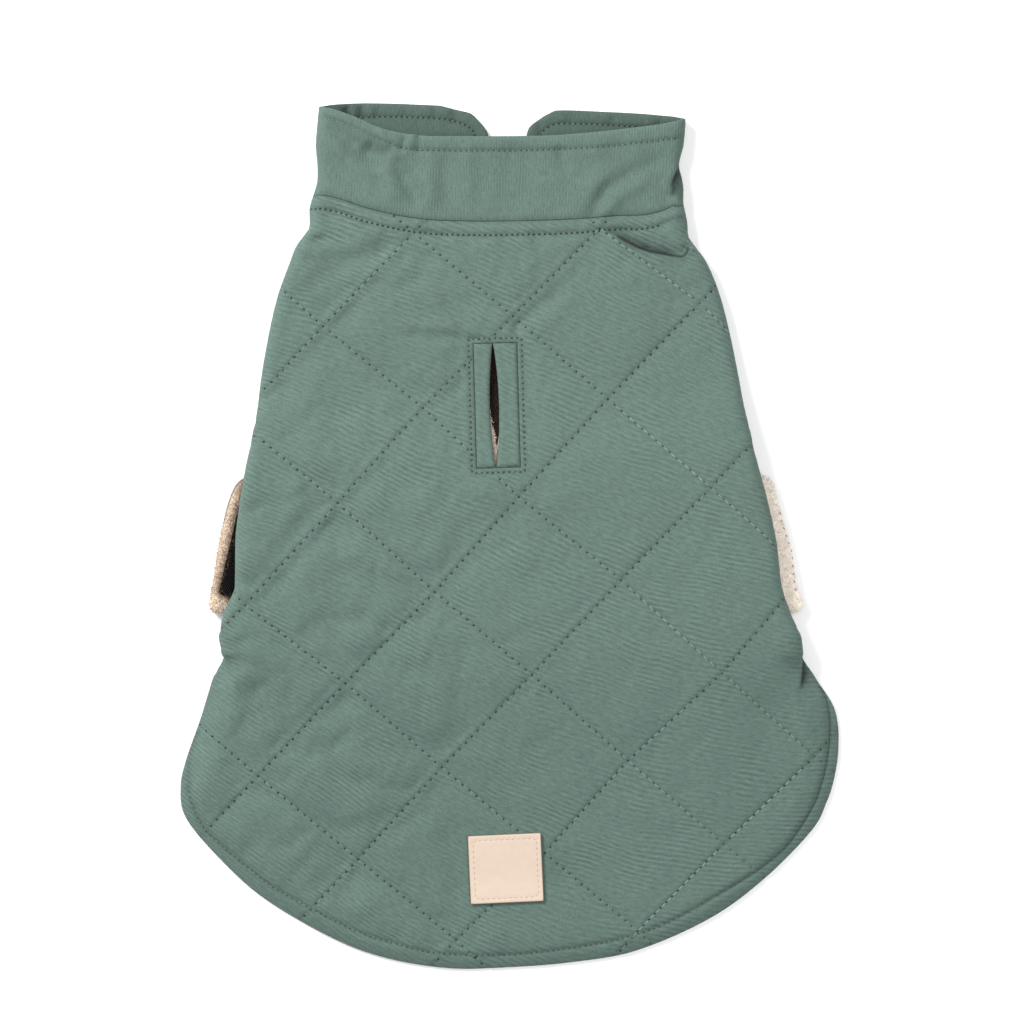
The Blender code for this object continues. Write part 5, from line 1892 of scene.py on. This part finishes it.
def leather_finish(name, light, dark, edge_colour):
    """Smooth pale leather with a faint grain and a darker cut edge."""
    f = Finish(name, 0.5, 0.05)
    place = f.place()
    colour = f.mix(f.ramp(f.noise(place, 260.0, 4.0), 0.35, 0.65), dark, light)
    cells = f.node("TexVoronoi", {"Vector": place, "Scale": 1500.0}, "Distance")
    return f.done(f.mix(f.ramp(f.mark("edge"), 0.3, 0.9), colour, edge_colour), cells, 0.25, 0.0001)


def tape_finish(name, colour, scale, gloss):
    """Woven tape, or the stiff hooks on it."""
    f = Finish(name, 0.55, gloss=gloss)
    weave = f.noise(f.place(), scale, 2.0)
    return f.done(f.mix(f.ramp(weave, 0.35, 0.65), darker(colour, 0.6), colour), weave, 0.6, 0.0005)


# ---- the scene ----

patch_middle = np.mean(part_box("leather_patch"), axis=0) / MM
settled = np.array([PATCH_AT[0] - patch_middle[0], PATCH_AT[1] - patch_middle[1], 0.0])

quilted = woven_cloth("quilted_cloth", GREEN, 22.8, 2.15, 1.4, 0.25, 0.009, 0.11, (-0.42, 7.5))
collar_cloth = woven_cloth("collar_cloth", COLLAR_GREEN, 91, 1.25, 1.5, 0.08, 0.006, 0.15)
# The green thread's second, paler colour is a painted highlight.
thread = thread_finish("green_thread", (0.10, 0.165, 0.135, 1), (0.30, 0.42, 0.36, 1))
cream = fleece_finish("cream_fleece", (0.66, 0.55, 0.44, 1), (0.58, 0.47, 0.365, 1))
# The fleece at the strap end on the right is paler, painted light where the coat's side shades it; the one on
# the left is darker, painted shade, and warmer in tone.
painted_light_cream = fleece_finish("painted_light_fleece", (0.98, 0.90, 0.81, 1), (0.90, 0.81, 0.72, 1), 0.5)
warm_painted_shade_cream = fleece_finish("warm_painted_shade_fleece", (0.72, 0.59, 0.465, 1), (0.60, 0.475, 0.36, 1), 0.25)
# Near-black pile: painted shade for the depth of the slit.
painted_shade_pile = fleece_finish("painted_shade_pile", (0.03, 0.018, 0.012, 1), (0.018, 0.011, 0.008, 1), 0.0)
pale_leather = leather_finish("pale_leather", *LEATHER_COLOURS)
pale_thread = thread_finish("pale_thread", (0.52, 0.41, 0.315, 1))
grey_thread = thread_finish("grey_thread", (0.3, 0.31, 0.33, 1))
black_tape = tape_finish("black_tape", (0.003, 0.0028, 0.0026, 1), 900.0, 0.05)
black_hooks = tape_finish("black_hooks", (0.014, 0.0135, 0.013, 1), 900.0, 0.5)
loop_tape = tape_finish("green_loops", (0.16, 0.21, 0.18, 1), 1400.0, 0.4)


def make_camera():
    """Straight above the coat, with FRAMED millimetres of the floor across its square frame."""
    camera = bpy.data.cameras.new("camera")
    camera.sensor_width = SENSOR
    camera.lens = SENSOR * CAMERA_HEIGHT / (FRAMED * MM)
    rig = bpy.data.objects.new("camera", camera)
    at = np.array(FRAMED_AT) - settled[:2]
    rig.location = (*(at * MM), CAMERA_HEIGHT + 0.01)
    bpy.context.scene.collection.objects.link(rig)
    bpy.context.scene.camera = rig


def area_light(name, at, size, power):
    """A round soft light aimed at the middle of the floor."""
    lamp = bpy.data.lights.new(name, "AREA")
    lamp.shape = "DISK"
    lamp.size = size
    lamp.energy = power
    rig = bpy.data.objects.new(name, lamp)
    rig.location = at
    x, y, z = at
    rig.rotation_euler = (math.atan2(math.hypot(x, y), z), 0, math.atan2(-x, y) + math.pi)
    bpy.context.scene.collection.objects.link(rig)


def make_surroundings():
    """White studio light from all round, two soft lights and a pale floor."""
    world = bpy.data.worlds.new("studio")
    world.use_nodes = True
    background = world.node_tree.nodes["Background"]
    background.inputs["Color"].default_value = (1, 1, 1, 1)
    background.inputs["Strength"].default_value = STUDIO_LIGHT
    bpy.context.scene.world = world
    for name, at, size, power in LAMPS:
        area_light(name, at, size, power)
    bpy.ops.mesh.primitive_plane_add(size=FLOOR_SIZE, location=(0, 0, FLOOR_LEVEL))
    floor = bpy.context.object
    floor.name = FLOOR
    pale = Finish("floor", 0.8)
    pale.shader.inputs["Base Color"].default_value = FLOOR_COLOUR
    pale.shader.inputs["Emission Color"].default_value = (1, 1, 1, 1)
    pale.shader.inputs["Emission Strength"].default_value = FLOOR_GLOW
    floor.data.materials.append(pale.material)
    bpy.context.scene.view_settings.view_transform = "Standard"


make_camera()
make_surroundings()

back = make_back(quilted)
make_back_stitches(thread)
lining = back_fleece(cream)
left_rim = belly_strap(-1, "left_wing", quilted, painted_light_cream)
right_rim = belly_strap(1, "right_wing", quilted, warm_painted_shade_cream)
chest_flap(-1, "left_chest_flap", quilted)
chest_flap(1, "right_chest_flap", quilted)
collar_band(collar_cloth)
collar_stitches(thread)
welts = slit_welts(quilted)
patch = leather_patch(pale_leather, pale_thread)
lay_sheet(back)
hook_height = WING_TOP + AIR
closure_tape("black_hook_tape", black_tape, "black_tape", "hook_tape", hook_tape_rim, hook_height)
tape_hooks(black_hooks, hook_tape_rim, hook_height + TAPE)
loop_tape_rim = rectangle(TAPE_SIZE, LOOP_TAPE_AT, TAPE_TILT, TAPE_CORNER, 1.5)
closure_tape("green_loop_tape", loop_tape, "green_tape", "loop_tape", loop_tape_rim, 0)
strap_pile("left_wing_pile", painted_light_cream, left_rim, -1, 3)
strap_pile("right_wing_pile", warm_painted_shade_cream, right_rim, 1, 4)
slit_pile(painted_shade_pile, cream)
strap_end_stitches(grey_thread)
